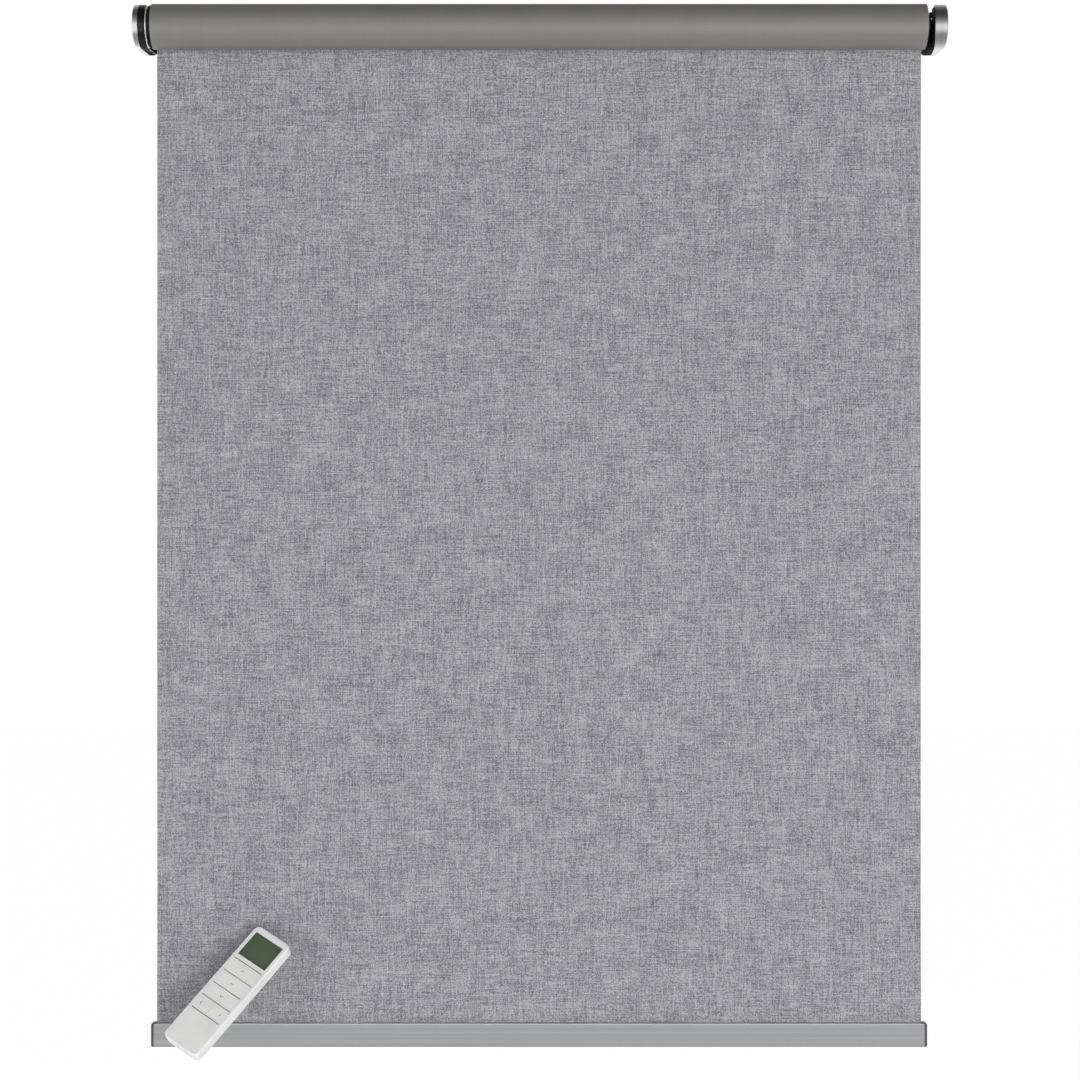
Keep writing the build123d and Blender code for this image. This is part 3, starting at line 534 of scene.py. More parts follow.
@dataclass(frozen=True)
class CutEdge(Finish):
    """Cut edge of the cloth: yarn ends between the face and the coating."""

    yarn: Colour
    coat: Colour

    def surface(self, graph: ShaderGraph) -> Socket:
        """Fine speckle of yarn ends."""
        ends = graph.cells(1500.0)
        wisps = graph.noise(900.0, 3.0, 0.6)
        dyed = graph.blend((ends + wisps * 0.5).over(0.3, 0.8), shade(self.coat, 0.55), self.yarn)
        return graph.principled(
            Base_Color=dyed,
            Roughness=0.78 + wisps * 0.16,
            Normal=graph.bump(wisps - ends, 0.1 * MM, 0.6),
            Specular_IOR_Level=0.2,
        )


class Run(Enum):
    """Which way the lines of a brushed or drawn metal run."""

    ROUND = (1.0, 0.0, 0.0)
    ALONG = (0.0, 1.0, 1.0)

    def stretch(self, fine: float, coarse: float) -> Place:
        """How a noise is stretched to make the lines.

        Args:
            fine: Features to the metre across the lines.
            coarse: Features to the metre along them.

        Returns:
            The stretch on each axis.
        """
        x, y, z = (coarse + share * (fine - coarse) for share in self.value)
        return x, y, z


@dataclass(frozen=True)
class LinedMetal(Finish):
    """Brushed, drawn or extruded metal with fine lines."""

    colour: Colour
    run: Run
    roughness: float
    spread: float = 0.14
    lines: float = 5200.0
    length: float = 22.0
    depth: float = 0.012 * MM
    edge: float = 0.25 * MM
    metal: float = 1.0
    # Share of paler, less metallic colour on sharp edges: part wear, part painted highlight
    edge_wear_highlight: float = 0.6
    # Share of painted highlight on faces that look up
    top_highlight: float = 0.0

    def surface(self, graph: ShaderGraph) -> Socket:
        """Lines in the roughness, the colour and the relief, scratches, pale edges that are part wear and part
        painted highlight, and a top painted paler as a highlight.
        """
        facing, _, upward = graph.parts(graph.normal())
        on_end = abs(facing) > 0.7
        sides = graph.noise(self.run.stretch(self.lines, self.length), 3.0, 0.6)
        broad = graph.noise(self.run.stretch(self.lines / 9, self.length / 2))
        ends = graph.noise((1.0, self.lines, self.length), 3.0, 0.6)
        line = ends * on_end + sides * (1 - on_end)
        clouds = graph.noise(70.0, 3.0, 0.6)
        scratch = (graph.noise((700, 35, 500), 1.0) > 0.78) * clouds
        tone = line * 0.6 + broad * 0.4
        dyed = graph.blend(tone.over(0.25, 0.75), shade(self.colour, 0.8), shade(self.colour, 1.12))
        rough = self.roughness + (line - 0.5) * self.spread * 2 + (clouds - 0.5) * self.spread
        # Painted highlight: sharp edges and upward faces turn pale and less metallic so they show bright whatever
        # they reflect; on edges it also stands for wear
        wear_and_highlight = (graph.ridges(self.edge) * self.edge_wear_highlight).at_least(upward.over(0.2, 0.5) * self.top_highlight)
        return graph.principled(
            Base_Color=graph.blend(wear_and_highlight, dyed, BARE_METAL_AND_HIGHLIGHT),
            Metallic=self.metal * (1 - wear_and_highlight * 0.8),
            Roughness=rough - wear_and_highlight * 0.1,
            Normal=graph.bump(tone - scratch * 0.3, self.depth, 0.6, graph.soft_edges(self.edge)),
        )


@dataclass(frozen=True)
class PlatedMetal(Finish):
    """Bright plating or a polished, tarnished or zinced metal without lines."""

    colour: Colour
    tint: Colour
    roughness: float
    grain: float = 900.0
    depth: float = 0.008 * MM
    metal: float = 1.0
    edge: float = 0.15 * MM

    def surface(self, graph: ShaderGraph) -> Socket:
        """Faint spangle, smears and a tint that comes and goes."""
        spangle = graph.cells(self.grain)
        smears = graph.noise(120.0, 4.0, 0.6)
        return graph.principled(
            Base_Color=graph.blend(smears.over(0.35, 0.7), self.colour, self.tint),
            Metallic=self.metal,
            Roughness=self.roughness + smears * 0.1 + spangle * 0.04,
            Normal=graph.bump(spangle + smears, self.depth, 0.5, graph.soft_edges(self.edge)),
        )


@dataclass(frozen=True)
class Moulding(Finish):
    """Moulded plastic, rubber or powder coat: a grained or polished skin with handling marks."""

    colour: Colour
    roughness: float
    grain: float = 2200.0
    depth: float = 0.02 * MM
    coat: float = 0.0
    shine: float = 0.5
    edge: float = 0.2 * MM
    dust: float = 0.0
    under: float = 0.0

    def surface(self, graph: ShaderGraph) -> Socket:
        """Mould grain, a slow change of gloss, hairline marks, a little dust and a duller underside."""
        _, _, upward = graph.parts(graph.normal())
        grain = graph.noise(self.grain, 3.0, 0.55)
        sheen = graph.noise(45.0, 3.0, 0.5)
        marks = graph.noise((160, 1500, 260), 1.0) > 0.74
        specks = graph.cells(620.0).over(0.16, 0.05) * sheen.over(0.4, 0.7)
        settled = (specks * 0.7 + 0.3) * upward.over(0.1, 0.9) * self.dust
        toned = graph.blend(sheen.over(0.25, 0.75), shade(self.colour, 0.955), shade(self.colour, 1.035))
        uneven = (sheen - 0.5) * 0.12 + (grain - 0.5) * 0.1 + marks * 0.04
        return graph.principled(
            Base_Color=graph.blend(settled, toned, DUST),
            Roughness=uneven + settled * 0.2 + upward.over(-0.5, -0.9) * self.under + self.roughness,
            Normal=graph.bump(grain - marks * 0.15, self.depth, 0.5, graph.soft_edges(self.edge)),
            Specular_IOR_Level=self.shine,
            Coat_Weight=self.coat,
            Coat_Roughness=0.08,
        )


@dataclass(frozen=True)
class LocalFrame:
    """Directions and middle of a piece that stands at a slant."""

    origin: Vector
    across: Vector
    along: Vector
    facing: Vector

    def point(self, x: float, y: float, z: float) -> Vector:
        """A point from its distances across, along and out of the piece."""
        return self.origin + self.across * x + self.along * y + self.facing * z


@dataclass(frozen=True)
class Display(Finish):
    """Liquid crystal panel with nothing shown: olive grey, darkened to its edges by painted shade."""

    local: LocalFrame
    half_width: float
    half_length: float
    middle: Colour
    shaded_border: Colour
    segment: float = 0.3 * MM

    def surface(self, graph: ShaderGraph) -> Socket:
        """Polariser over a fine row of segments."""
        x = graph.reach(self.local.origin, self.local.across) / self.half_width
        y = graph.reach(self.local.origin, self.local.along) / self.half_length
        # Painted shade: the panel darkens towards its edges, more on one side, as shade inside the recess round it
        radius = (x * x + y * y + y * 0.5 - x * 0.35) ** 0.5
        clouds = graph.noise(90.0, 3.0, 0.5)
        fine = (y * (math.pi * self.half_length / self.segment)).sine() * 0.5 + 0.5
        tone = radius + (clouds - 0.5) * 0.3 + fine * 0.05
        return graph.principled(
            Base_Color=graph.blend(tone.over(0.1, 1.35), self.middle, self.shaded_border),
            Roughness=0.3 + clouds * 0.12,
            Normal=graph.bump(fine + clouds, 0.004 * MM, 0.3),
            Specular_IOR_Level=0.4,
        )


@dataclass(frozen=True)
class ClearPane(Finish):
    """Thin clear window that reflects a little on its outer side and nothing on its inner side."""

    tint: Colour

    def surface(self, graph: ShaderGraph) -> Socket:
        """Clear pane with a faint reflection that varies with wipe marks."""
        smears = graph.noise((60, 240, 90), 3.0, 0.6)
        gloss = graph.principled(
            Base_Color=seen(20, 20, 20),
            Roughness=0.03 + smears * 0.09,
            Normal=graph.bump(smears, 0.003 * MM, 0.3),
            Coat_Weight=0.5,
        )
        clear = graph.node("ShaderNodeBsdfTransparent", inputs={"Color": self.tint})
        fresnel = graph.node("ShaderNodeFresnel", inputs={"IOR": 1.49})
        inside = graph.node("ShaderNodeNewGeometry", output="Backfacing")
        factor = (fresnel * 0.9 + smears * 0.03) * (1 - inside)
        return graph.node("ShaderNodeMixShader", inputs={0: factor, 1: clear, 2: gloss})


@dataclass(frozen=True)
class Circuit(Finish):
    """Circuit board: solder mask over copper, with tinned pads."""

    mask: Colour

    def surface(self, graph: ShaderGraph) -> Socket:
        """Tracks as thin lines between cells, pads as dots."""
        tracks = graph.cells(320.0).over(0.42, 0.5)
        pads = graph.cells(420.0).over(0.2, 0.12)
        clouds = graph.noise(60.0, 3.0, 0.5)
        board = graph.blend(tracks * 0.6, self.mask, shade(self.mask, 1.9))
        return graph.principled(
            Base_Color=graph.blend(pads, board, TIN),
            Metallic=pads * 0.8,
            Roughness=0.34 + clouds * 0.14,
            Normal=graph.bump(tracks + pads, 0.03 * MM, 0.5),
        )


@dataclass(frozen=True)
class CellWrap(Finish):
    """Battery cells in shrink film, with dark collars between them."""

    film: Colour
    collar: Colour
    pitch: float
    start: float
    width: float

    def surface(self, graph: ShaderGraph) -> Socket:
        """Film drawn tight, with fine creases that run along the cells."""
        x, _, _ = graph.parts(graph.place)
        along = ((x - self.start) / self.pitch).fract() * self.pitch
        film = along.over(self.width, self.width * 1.2)
        creases = graph.noise((60, 900, 900), 3.0, 0.6)
        creased = graph.blend(creases, self.film, shade(self.film, 1.25))
        return graph.principled(
            Base_Color=graph.blend(film, self.collar, creased),
            Roughness=0.26 + creases * 0.2,
            Normal=graph.bump(creases, 0.06 * MM, 0.5),
        )


@dataclass(frozen=True)
class FloorPaint(Finish):
    """Floor that shows white, with a trace of shadow left in it."""

    paint: float = 0.82
    strength: float = 1.06
    white: float = 0.92
    glow: float = 0.3

    def surface(self, graph: ShaderGraph) -> Socket:
        """Pale paint under a light of its own, which is weaker where it only lights the blind."""
        paint = graph.node("ShaderNodeBsdfDiffuse", inputs={"Color": grey(self.paint)})
        light = graph.node("ShaderNodeEmission", inputs={"Color": WHITE, "Strength": self.strength})
        shown = graph.shows_white()
        share = shown * self.white + (1 - shown) * self.glow
        return graph.node("ShaderNodeMixShader", inputs={0: share, 1: paint, 2: light})


@dataclass(frozen=True)
class CardGlow(Finish):
    """Light of a studio card, graded by its elevation as seen from the roller."""

    axis_y: float
    shades: Pairs
    left_gain: float
    left_start: float = -0.97
    left_full: float = -1.0

    def surface(self, graph: ShaderGraph) -> Socket:
        """Grey by elevation, brighter past the blind's left end."""
        x, y, z = graph.parts(graph.place)
        turn = graph.math("ARCTAN2", z, self.axis_y - y) / math.tau + 0.5
        graded = graph.ramp(turn, [(degrees / 360 + 0.5, grey(level)) for degrees, level in self.shades])
        side = x.over(self.left_start, self.left_full) * (self.left_gain - 1.0) + 1.0
        lit = graph.vector_math("SCALE", {0: graded, "Scale": side})
        return graph.node("ShaderNodeEmission", inputs={"Color": lit})


WEAVE = Weave("Melange weave", FABRIC_DARK, FABRIC_MIDDLE, FABRIC_LIGHT)
COATING = Coating("Blackout coating", COATING_GREY)
CUT_EDGE = CutEdge("Cut cloth edge", FABRIC_LIGHT, COATING_GREY)
SPRING_STEEL = LinedMetal("Drawn spring steel", seen(150, 149, 147), Run.ROUND, 0.3, length=60.0)
WHITE_SHELL = Moulding("White satin moulding", seen(249, 249, 248), 0.36, 3400.0, 0.014 * MM, edge=0.3 * MM)
MARK_INK = Moulding("Grey key ink", seen(78, 78, 79), 0.6, 4000.0, 0.01 * MM, edge=0.02 * MM)

# Finish of each material slot, but for the two that take sizes from the frame
FINISHES: dict[str, Finish] = {
    "brushed_steel": LinedMetal("Brushed stainless steel", seen(222, 223, 226), Run.ROUND, 0.26, length=9.0),
    "black_steel": Moulding("Black powder coat", seen(30, 30, 32), 0.46, 1500.0, 0.05 * MM, under=0.3),
    "black_gloss": Moulding(
        "Polished black moulding", seen(16, 16, 19), 0.14, 900.0, 0.003 * MM,
        shine=0.42, dust=0.03, under=0.65,
    ),
    "black_matte": Moulding(
        "Matt black moulding", seen(24, 24, 25), 0.42, 2600.0, 0.03 * MM,
        shine=0.12, dust=0.03, under=0.45,
    ),
    "chrome": PlatedMetal(
        "Bright satin plating", seen(250, 250, 251), seen(244, 245, 247), 0.2, 300.0, 0.002 * MM, metal=0.7
    ),
    "spring_steel": SPRING_STEEL,
    "zinc_steel": PlatedMetal("Zinc plated steel", seen(196, 198, 196), seen(188, 184, 160), 0.28),
    "raw_aluminium": LinedMetal(
        "Mill finish aluminium", seen(205, 207, 210), Run.ALONG, 0.33, spread=0.1, length=3.0
    ),
    # The rail's rounded top edge is painted paler as a highlight
    "satin_aluminium": LinedMetal(
        "Satin anodised rail", seen(179, 181, 183), Run.ALONG, 0.42,
        spread=0.05, length=2.5, edge=0.45 * MM, metal=0.8, top_highlight=1.0,
    ),
    "grey_nylon": Moulding("Grey nylon", seen(146, 148, 150), 0.5, 1800.0, 0.025 * MM),
    "dark_grey_plastic": Moulding("Dark grey moulding", seen(74, 75, 78), 0.44, 2600.0, 0.03 * MM),
    "white_plastic": WHITE_SHELL,
    "key_plastic": Moulding("White key moulding", seen(249, 249, 247), 0.42, 3800.0, 0.016 * MM),
    "clear_lens": ClearPane("Clear display window", seen(250, 252, 249)),
    "light_lens": Moulding("Frosted light pipe", seen(214, 220, 214), 0.3, 1200.0, 0.01 * MM, coat=0.6),
    "rubber": Moulding("Black rubber", seen(32, 32, 33), 0.62, 2400.0, 0.05 * MM, shine=0.3),
    "circuit": Circuit("Green circuit board", seen(20, 62, 38)),
    "cell_steel": PlatedMetal("Nickel plated steel", seen(206, 203, 194), seen(192, 186, 172), 0.2),
    "sheet_fabric": WEAVE,
    "roll_fabric": COATING,
}


def add(name: str, data: bpy.types.ID) -> bpy.types.Object:
    """Adds an object to the scene."""
    made = bpy.data.objects.new(name, data)
    bpy.context.scene.collection.objects.link(made)
    return made


class MeshMaker:
    """Collects the points and faces of one piece, then makes its object."""

    def __init__(self, name: str) -> None:
        """Starts an empty piece.

        Args:
            name: The piece's name.
        """
        self.name = name
        self.points: list[Vector] = []
        self.faces: list[tuple[int, ...]] = []
        self.dressed: list[int] = []

    def skin(self, rows: Sequence[Sequence[Vector]], finishes: Sequence[int] = (0,)) -> "MeshMaker":
        """Joins closed rows of points, one to the next, and fills the first and the last.

        Args:
            rows: Loops of points, all of one count.
            finishes: The finish of each stretch round the loop, repeated as needed.

        Returns:
            The maker itself.
        """
        count = len(rows[0])
        base = len(self.points)
        for row in rows:
            self.points.extend(row)
        for step in range(len(rows) - 1):
            low = base + step * count
            for place in range(count):
                after = (place + 1) % count
                self.faces.append((low + place, low + after, low + count + after, low + count + place))
                self.dressed.append(finishes[place % len(finishes)])
        last = base + (len(rows) - 1) * count
        self.faces.append(tuple(range(base, base + count))[::-1])
        self.faces.append(tuple(range(last, last + count)))
        self.dressed.extend((finishes[-1], finishes[-1]))
        return self

    def make(self, *finishes: Finish) -> bpy.types.Object:
        """Makes the object.

        Args:
            finishes: Its finishes, in the order that its faces name them.

        Returns:
            The object, smooth but for its sharp edges.
        """
        mesh = bpy.data.meshes.new(self.name)
        mesh.from_pydata(self.points, [], self.faces)
        for finish in finishes:
            mesh.materials.append(finish.material())
        mesh.polygons.foreach_set("material_index", self.dressed)
        mesh.shade_smooth()
        mesh.set_sharp_from_angle(angle=SMOOTH_ANGLE)
        mesh.update()
        return add(self.name, mesh)


def fit(piece: bpy.types.Object, body: str, slot: str, *replaced: str) -> None:
    """Fits a made piece to the frame.

    Args:
        piece: The piece, in place at rest.
        body: The body that carries it.
        slot: A material slot; not used.
        replaced: The nodes that it stands for.
    """
    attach(piece, body)
    if replaced:
        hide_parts(*replaced)
    log.info("%s rides on %s with %d faces", piece.name, body, len(piece.data.polygons))


def joint(name: str) -> dict[str, Any]:
    """The joint of that name, as the record gives it."""
    return next(found for found in frame["joints"] if found["name"] == name)


def middle(*nodes: str) -> Vector:
    """Middle of the box round some nodes."""
    boxes = [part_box(node) for node in nodes]
    low = [min(box[0][axis] for box in boxes) for axis in range(3)]
    high = [max(box[1][axis] for box in boxes) for axis in range(3)]
    return (Vector(low) + Vector(high)) / 2


def half_reach(node: str, direction: Vector) -> float:
    """Half of a node's size along a direction."""
    spots = [direction.dot(corner.co) for corner in frame["nodes"][node].data.vertices]
    return (max(spots) - min(spots)) / 2


def around(axis: Vector, x: float, radius: float, angle: float) -> Vector:
    """A point at some radius and angle round an axis that runs along X."""
    return Vector((x, axis.y + radius * math.cos(angle), axis.z + radius * math.sin(angle)))


def tube_rows(path: Sequence[Vector], radius: float, sides: int, axis: Vector) -> list[list[Vector]]:
    """Rings of a round wire that winds about an axis along X.

    Args:
        path: Points along the middle of the wire.
        radius: Half its thickness.
        sides: Points in a ring.
        axis: A point on the axis.

    Returns:
        One ring for each point of the path.
    """
    rows = []
    last = len(path) - 1
    turns = [math.tau * corner / sides for corner in range(sides)]
    for place, point in enumerate(path):
        outward = point - Vector((point.x, axis.y, axis.z))
        tangent = (path[min(place + 1, last)] - path[max(place - 1, 0)]).normalized()
        side = (outward - tangent * outward.dot(tangent)).normalized()
        other = tangent.cross(side)
        rows.append([point + (side * math.cos(turn) + other * math.sin(turn)) * radius for turn in turns])
    return rows


def ribbon_rows(
    local: LocalFrame, line: Pairs, width: float, height: float, sunk: float = 0.3, sharpest: float = 0.3
) -> list[list[Vector]]:
    """Rows of a flat stroke that stands a little proud of a face.

    Args:
        local: The face, with its origin on its surface.
        line: Corners of the stroke, across and along.
        width: Width of the stroke.
        height: How far it stands out.
        sunk: How far it goes into the face, as a share of its height.
        sharpest: Cosine below which a corner's mitre grows no longer.

    Returns:
        One loop of four points for each corner, mitred.
    """
    rows = []
    last = len(line) - 1
    for place, (x, y) in enumerate(line):
        ahead = Vector(line[min(place + 1, last)]) - Vector(line[min(place, last - 1)])
        behind = Vector(line[max(place, 1)]) - Vector(line[max(place - 1, 0)])
        along = ahead.normalized() + behind.normalized()
        square = Vector((-along.y, along.x)).normalized()
        mitre = width / 2 / max(abs(square.dot(Vector((-ahead.y, ahead.x)).normalized())), sharpest)
        left = (x + square.x * mitre, y + square.y * mitre)
        right = (x - square.x * mitre, y - square.y * mitre)
        foot = -sunk * height
        corners = ((left, foot), (right, foot), (right, height), (left, height))
        rows.append([local.point(*spot, level) for spot, level in corners])
    return rows


@dataclass
class HangingSheet:
    """The cloth from the back of the roll down into the hem bar."""

    columns: int = 104
    rows: int = 120
    right_curl: float = 2.3 * MM
    left_curl: float = 1.0 * MM
    curl_reach: float = 11 * MM
    free_from: float = 0.16
    held_from: float = 0.985
    held_over: float = 0.09
    ripple: float = 0.35 * MM
    # Size, phase across half the width, phase down the length and start of each wave
    waves: tuple[tuple[float, float, float, float], ...] = ((1.0, 9, 3, 0), (0.6, 23, -7, 1))
    fray: float = 0.06 * MM
    fray_from: float = 0.999
    fray_scale: float = 700.0

    def stand_off(self, x: float, share: float, half: float) -> float:
        """How far the cloth stands off its flat plane, towards the wall.

        Args:
            x: Place across the sheet.
            share: Place down it, from 0 at the roll to 1 in the hem bar.
            half: Half its width.

        Returns:
            The distance.
        """
        free = ease(share / self.free_from) * ease((self.held_from - share) / self.held_over)
        right = self.right_curl * math.exp((x - half) / self.curl_reach)
        left = self.left_curl * math.exp((-half - x) / self.curl_reach)
        wave = sum(
            size * math.sin(across * x / half + down * share + start)
            for size, across, down, start in self.waves
        )
        return free * (right + left + self.ripple * wave * math.sin(math.pi * share))

    def build(self) -> None:
        """Builds the sheet as a thin closed skin: weave to the room, coating to the wall."""
        low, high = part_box("fabric_sheet")
        half = (high.x - low.x) / 2
        length = high.z - low.z
        # The columns crowd towards the sides, where the cloth curls
        turns = [math.pi * (column / self.columns - 0.5) for column in range(self.columns + 1)]
        places = [math.sin(turn) for turn in turns]
        loops = []
        for row in range(self.rows + 1):
            share = row / self.rows
            z = high.z - share * length
            loop = []
            for side_y, order in ((low.y, places), (high.y, places[::-1])):
                for place in order:
                    x = place * half
                    at_edge = abs(place) > self.fray_from
                    fray = field_noise.noise((z * self.fray_scale, place * 5, 0)) if at_edge else 0.0
                    out = self.fray * fray * place
                    loop.append(Vector((x - out, side_y + self.stand_off(x, share, half), z)))
            loops.append(loop)
        dressed = [0] * self.columns + [2] + [1] * self.columns + [2]
        sheet = MeshMaker("hanging_sheet").skin(loops, dressed).make(WEAVE, COATING, CUT_EDGE)
        fit(sheet, "mounting", "sheet_fabric", "fabric_sheet")
        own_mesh(sheet)


@dataclass
class WoundRoll:
    """The cloth left on the tube, wound as one spiral with its coated side out."""

    turns: float = 6.5
    steps: int = 96
    air: float = 0.03 * MM
    telescope: float = 0.22 * MM
    wander: float = 0.9

    def build(self) -> None:
        """Builds the spiral from the back of the roll, over the top and inwards."""
        axis = Vector(joint("roller_spin")["pos_m"])
        low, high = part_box("fabric_roll")
        sheet_low, sheet_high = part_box("fabric_sheet")
        cloth = sheet_high.y - sheet_low.y
        outer = sheet_high.y - axis.y
        loops = []
        for step in range(int(self.turns * self.steps) + 1):
            turn = step / self.steps
            out = outer - cloth * turn
            inside = out - cloth + self.air
            shift = self.telescope * (field_noise.noise((turn * self.wander, 2.0, 0.0)) * 0.5 + 0.5)
            left = low.x + shift
            right = high.x - self.telescope + shift
            corners = ((left, out), (right, out), (right, inside), (left, inside))
            loops.append([around(axis, x, radius, math.tau * turn) for x, radius in corners])
        roll = MeshMaker("wound_roll").skin(loops, (0, 1, 2, 1)).make(COATING, CUT_EDGE, WEAVE)
        fit(roll, "roller", "roll_fabric", "fabric_roll")


@dataclass
class CoilSpring:
    """Compression spring behind the idler pin, with closed ends."""

    wire: float = 1.0 * MM
    turns: float = 10.0
    closed: float = 1.0
    closed_pitch: float = 1.02
    steps: int = 28
    sides: int = 10

    def build(self) -> None:
        """Builds the spring between the chamber's end and the pin's head."""
        low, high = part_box("pin_spring")
        axis = Vector((0, (low.y + high.y) / 2, (low.z + high.z) / 2))
        radius = (high.z - low.z) / 2 - self.wire / 2
        start = low.x + self.wire / 2
        length = high.x - low.x - self.wire
        free = length - 2 * self.closed * self.wire * self.closed_pitch
        path = []
        for step in range(int(self.turns * self.steps) + 1):
            turn = step / self.steps
            first = min(turn, self.closed)
            last = max(turn - (self.turns - self.closed), 0.0)
            between = turn - first - last
            shut = (first + last) * self.wire * self.closed_pitch
            x = start + shut + free * between / (self.turns - 2 * self.closed)
            path.append(around(axis, x, radius, math.tau * turn))
        rows = tube_rows(path, self.wire / 2, self.sides, axis)
        spring = MeshMaker("coil_spring").skin(rows).make(SPRING_STEEL)
        fit(spring, "roller", "spring_steel", "pin_spring")
        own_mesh(spring)


class Mark(Enum):
    """Mark on each key of the remote: its corners, then its place across, in millimetres."""

    UP = ((-1.75, -0.75), (0.0, 0.85), (1.75, -0.75)), 0.0
    STOP = ((-1.45, 0.0), (1.45, 0.0)), 0.0
    DOWN = ((-1.75, 0.75), (0.0, -0.85), (1.75, 0.75)), 0.0
    LEFT = ((0.75, 1.6), (-0.8, 0.0), (0.75, -1.6)), -3.2
    RIGHT = ((-0.75, 1.6), (0.8, 0.0), (-0.75, -1.6)), 3.2

    def line(self) -> list[tuple[float, float]]:
        """The mark's corners on its key, in metres."""
        corners, shift = self.value
        return [((x + shift) * MM, y * MM) for x, y in corners]


@dataclass
class HandRemote:
    """The remote: marks on its keys, grips on its battery door, and its display."""

    stroke: float = 0.42 * MM
    ink: float = 0.05 * MM
    grips: int = 5
    grip_pitch: float = 1.6 * MM
    grip_width: float = 0.8 * MM
    grip_height: float = 0.3 * MM
    grip_length: float = 0.45
    grip_start: float = 0.3

    def local(self) -> LocalFrame:
        """Directions and middle of the remote, from the joints of its keys and its door."""
        facing = -Vector(joint("up_key_press")["axis"]).normalized()
        along = -Vector(joint("battery_door_slide")["axis"]).normalized()
        shells = middle("remote_front_shell", "remote_back_shell")
        return LocalFrame(shells, along.cross(facing), along, facing)

    def marks(self) -> None:
        """Prints a mark on each key."""
        remote = self.local()
        for mark in Mark:
            name = mark.name.lower()
            top = middle(f"key_{name}") + remote.facing * half_reach(f"key_{name}", remote.facing)
            rows = ribbon_rows(replace(remote, origin=top), mark.line(), self.stroke, self.ink)
            fit(MeshMaker(f"mark_{name}").skin(rows).make(MARK_INK), f"{name}_key", "dark_grey_plastic")

    def door_grips(self) -> None:
        """Raises grip bars on the outside of the battery door."""
        remote = self.local()
        door = "remote_battery_door"
        surface = middle(door) - remote.facing * half_reach(door, remote.facing)
        outside = LocalFrame(surface, -remote.across, remote.along, -remote.facing)
        half = half_reach(door, remote.across) * self.grip_length
        start = half_reach(door, remote.along) * self.grip_start
        maker = MeshMaker("door_grips")
        for grip in range(self.grips):
            y = start + grip * self.grip_pitch
            maker.skin(ribbon_rows(outside, ((-half, y), (half, y)), self.grip_width, self.grip_height))
        fit(maker.make(WHITE_SHELL), "battery_door", "white_plastic")

    def display(self) -> Display:
        """The finish of the display panel."""
        panel = "remote_display"
        local = replace(self.local(), origin=middle(panel))
        halves = half_reach(panel, local.across), half_reach(panel, local.along)
        # The second colour is the painted shade at the panel's edges
        return Display("Blank display panel", local, *halves, seen(108, 122, 100), seen(98, 113, 94))


@dataclass
class FrameDresser:
    """Gives every solid of the frame the finish of its material slot."""

    remote: HandRemote
    cells: int = 3
    collar: float = 3.0 * MM

    def cell_wrap(self) -> CellWrap:
        """The finish of the battery pack."""
        low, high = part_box("battery_pack")
        pitch = (high.x - low.x - self.collar) / self.cells
        return CellWrap("Wrapped cells", seen(38, 92, 140), seen(40, 40, 42), pitch, low.x, self.collar)

    def dress(self) -> None:
        """Dresses the solids, node by node."""
        finishes = FINISHES | {"display_panel": self.remote.display(), "cell_wrap": self.cell_wrap()}
        for part in frame["record"]["subparts"]:
            solid = frame["nodes"][part["node"]]
            finish = finishes[part["material_slot"]]
            solid.data.materials.clear()
            solid.data.materials.append(finish.material())
            log.info("%s is dressed in %s", solid.name, finish.label)


@dataclass(frozen=True)
class Lamp:
    """Square soft lamp that polished surfaces don't show, with its power in watts."""

    name: str
    place: Place
    size: float
    power: float

    def build(self, aim: Vector) -> None:
        """Stands the lamp in its place.

        Args:
            aim: The point that it faces.
        """
        data = bpy.data.lights.new(self.name, "AREA")
        data.shape = "SQUARE"
        data.size = self.size
        data.energy = self.power
        made = add(self.name, data)
        made.location = self.place
        made.rotation_euler = (aim - Vector(self.place)).to_track_quat("-Z", "Y").to_euler()
        made.visible_camera = False
        made.visible_glossy = False


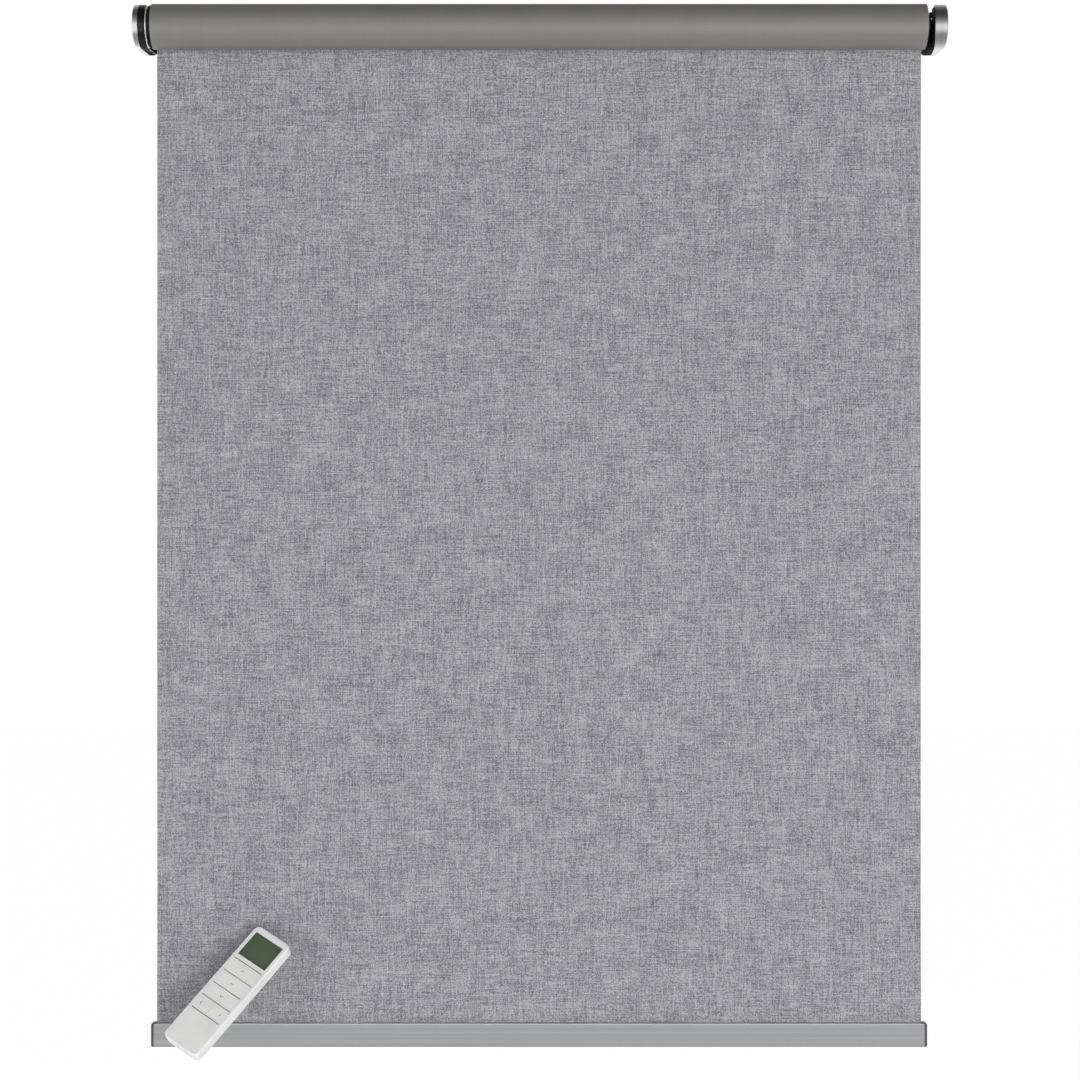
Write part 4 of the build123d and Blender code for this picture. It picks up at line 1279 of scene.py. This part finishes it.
@dataclass
class Studio:
    """Camera, floor, backdrop light, lamps and the cards that metal reflects."""

    picture: float = 1080.0
    focal: float = 2090.0
    camera_side: float = 0.9 * MM
    camera_height: float = -0.513
    sensor: float = 36.0
    floor_level: float = -2.0
    floor_half: float = 14.0
    lamps_aim: Place = (0.0, 0.0, -0.45)
    lamps: tuple[Lamp, ...] = (
        Lamp("front softbox", (1.25, -3.2, -1.2), 2.4, 82.0),
        Lamp("side softbox", (-2.3, -2.3, -0.9), 1.6, 22.0),
        Lamp("back fill", (-1.4, 3.2, 0.3), 2.2, 44.0),
    )
    # Height from 0 straight down to 1 straight up, and the world's light there
    backdrop: Pairs = ((0.1, 0.4), (0.45, 0.32), (0.62, 0.32), (0.85, 0.12))
    card_half: float = 6.0
    left_gain: float = 1.7
    canopy_radius: float = 3.2
    canopy_turns: range = range(-4, 176, 5)
    canopy_shades: Pairs = (
        (-4, 1.0), (3, 0.72), (12, 0.42), (26, 0.19), (42, 0.1),
        (58, 0.04), (80, 0.05), (104, 0.15), (140, 0.6),
    )
    ground_line: Pairs = ((4.5, -1.9), (-7.0, -1.9))
    ground_shades: Pairs = (
        (-178, 1.0), (-140, 0.85), (-110, 0.5), (-90, 0.35), (-72, 0.27),
        (-56, 0.27), (-42, 0.4), (-32, 0.7), (-24, 1.0),
    )

    def camera(self) -> None:
        """Puts the camera level and square to the wall, where a pixel is a millimetre of the roller."""
        roller = joint("roller_spin")["pos_m"]
        data = bpy.data.cameras.new("camera")
        data.sensor_width = self.sensor
        data.lens = self.focal / self.picture * self.sensor
        made = add("camera", data)
        made.location = (self.camera_side, roller[1] - self.focal * MM, self.camera_height)
        made.rotation_euler = (math.radians(90), 0.0, 0.0)
        bpy.context.scene.camera = made

    def world(self) -> None:
        """White background over a soft light that is strongest from below and weakest from above."""
        world = bpy.data.worlds.new("studio")
        world.use_nodes = True
        bpy.context.scene.world = world
        graph = ShaderGraph(world.node_tree)
        _, _, up = graph.parts(graph.node("ShaderNodeTexCoord", output="Generated"))
        soft = graph.ramp(up * 0.5 + 0.5, [(height, grey(level)) for height, level in self.backdrop])
        colour = graph.blend(graph.shows_white(), soft, WHITE)
        graph.close(graph.node("ShaderNodeBackground", inputs={"Color": colour}), "ShaderNodeOutputWorld")

    @staticmethod
    def panel(name: str, line: Pairs, half: float, finish: Finish, *hidden: str) -> None:
        """Adds a piece of the studio: an outline drawn out along X.

        Args:
            name: Its name.
            line: Its outline, as places on Y and Z.
            half: Half its length.
            finish: What it is dressed in.
            hidden: The kinds of ray that don't see it.
        """
        mesh = bpy.data.meshes.new(name)
        points = [(side, y, z) for y, z in line for side in (-half, half)]
        faces = [(2 * n, 2 * n + 1, 2 * n + 3, 2 * n + 2) for n in range(len(line) - 1)]
        mesh.from_pydata(points, [], faces)
        mesh.materials.append(finish.material())
        made = add(name, mesh)
        for rays in hidden:
            setattr(made, f"visible_{rays}", False)

    def card(self, name: str, line: Pairs, shades: Pairs) -> None:
        """Stands a graded card where only polished surfaces see it.

        Args:
            name: Its name.
            line: Its outline seen from the end of the roller: how far in front and how far up.
            shades: Elevation in degrees seen from the roller, and how bright it shows there.
        """
        axis_y = joint("roller_spin")["pos_m"][1]
        outline = [(axis_y - front, up) for front, up in line]
        glow = CardGlow(name, axis_y, shades, self.left_gain)
        self.panel(name, outline, self.card_half, glow, "camera", "diffuse", "transmission", "shadow")

    def build(self) -> None:
        """Sets up the whole studio."""
        self.camera()
        self.world()
        half, level = self.floor_half, self.floor_level
        self.panel("floor", ((-half, level), (half, level)), half, FloorPaint("Pale floor"))
        for lamp in self.lamps:
            lamp.build(Vector(self.lamps_aim))
        turns = [math.radians(degrees) for degrees in self.canopy_turns]
        radius = self.canopy_radius
        canopy = [(radius * math.cos(turn), radius * math.sin(turn)) for turn in turns]
        self.card("canopy card", canopy, self.canopy_shades)
        self.card("ground card", self.ground_line, self.ground_shades)
        log.info("studio is set")


def main() -> None:
    """Builds the scene: studio, frame finishes, cloth, spring and marks."""
    logging.basicConfig(level=logging.INFO, format="%(message)s")
    bpy.context.scene.view_settings.view_transform = "Standard"
    remote = HandRemote()
    Studio().build()
    FrameDresser(remote).dress()
    HangingSheet().build()
    WoundRoll().build()
    CoilSpring().build()
    remote.marks()
    remote.door_grips()


if __name__ == "__main__":
    main()
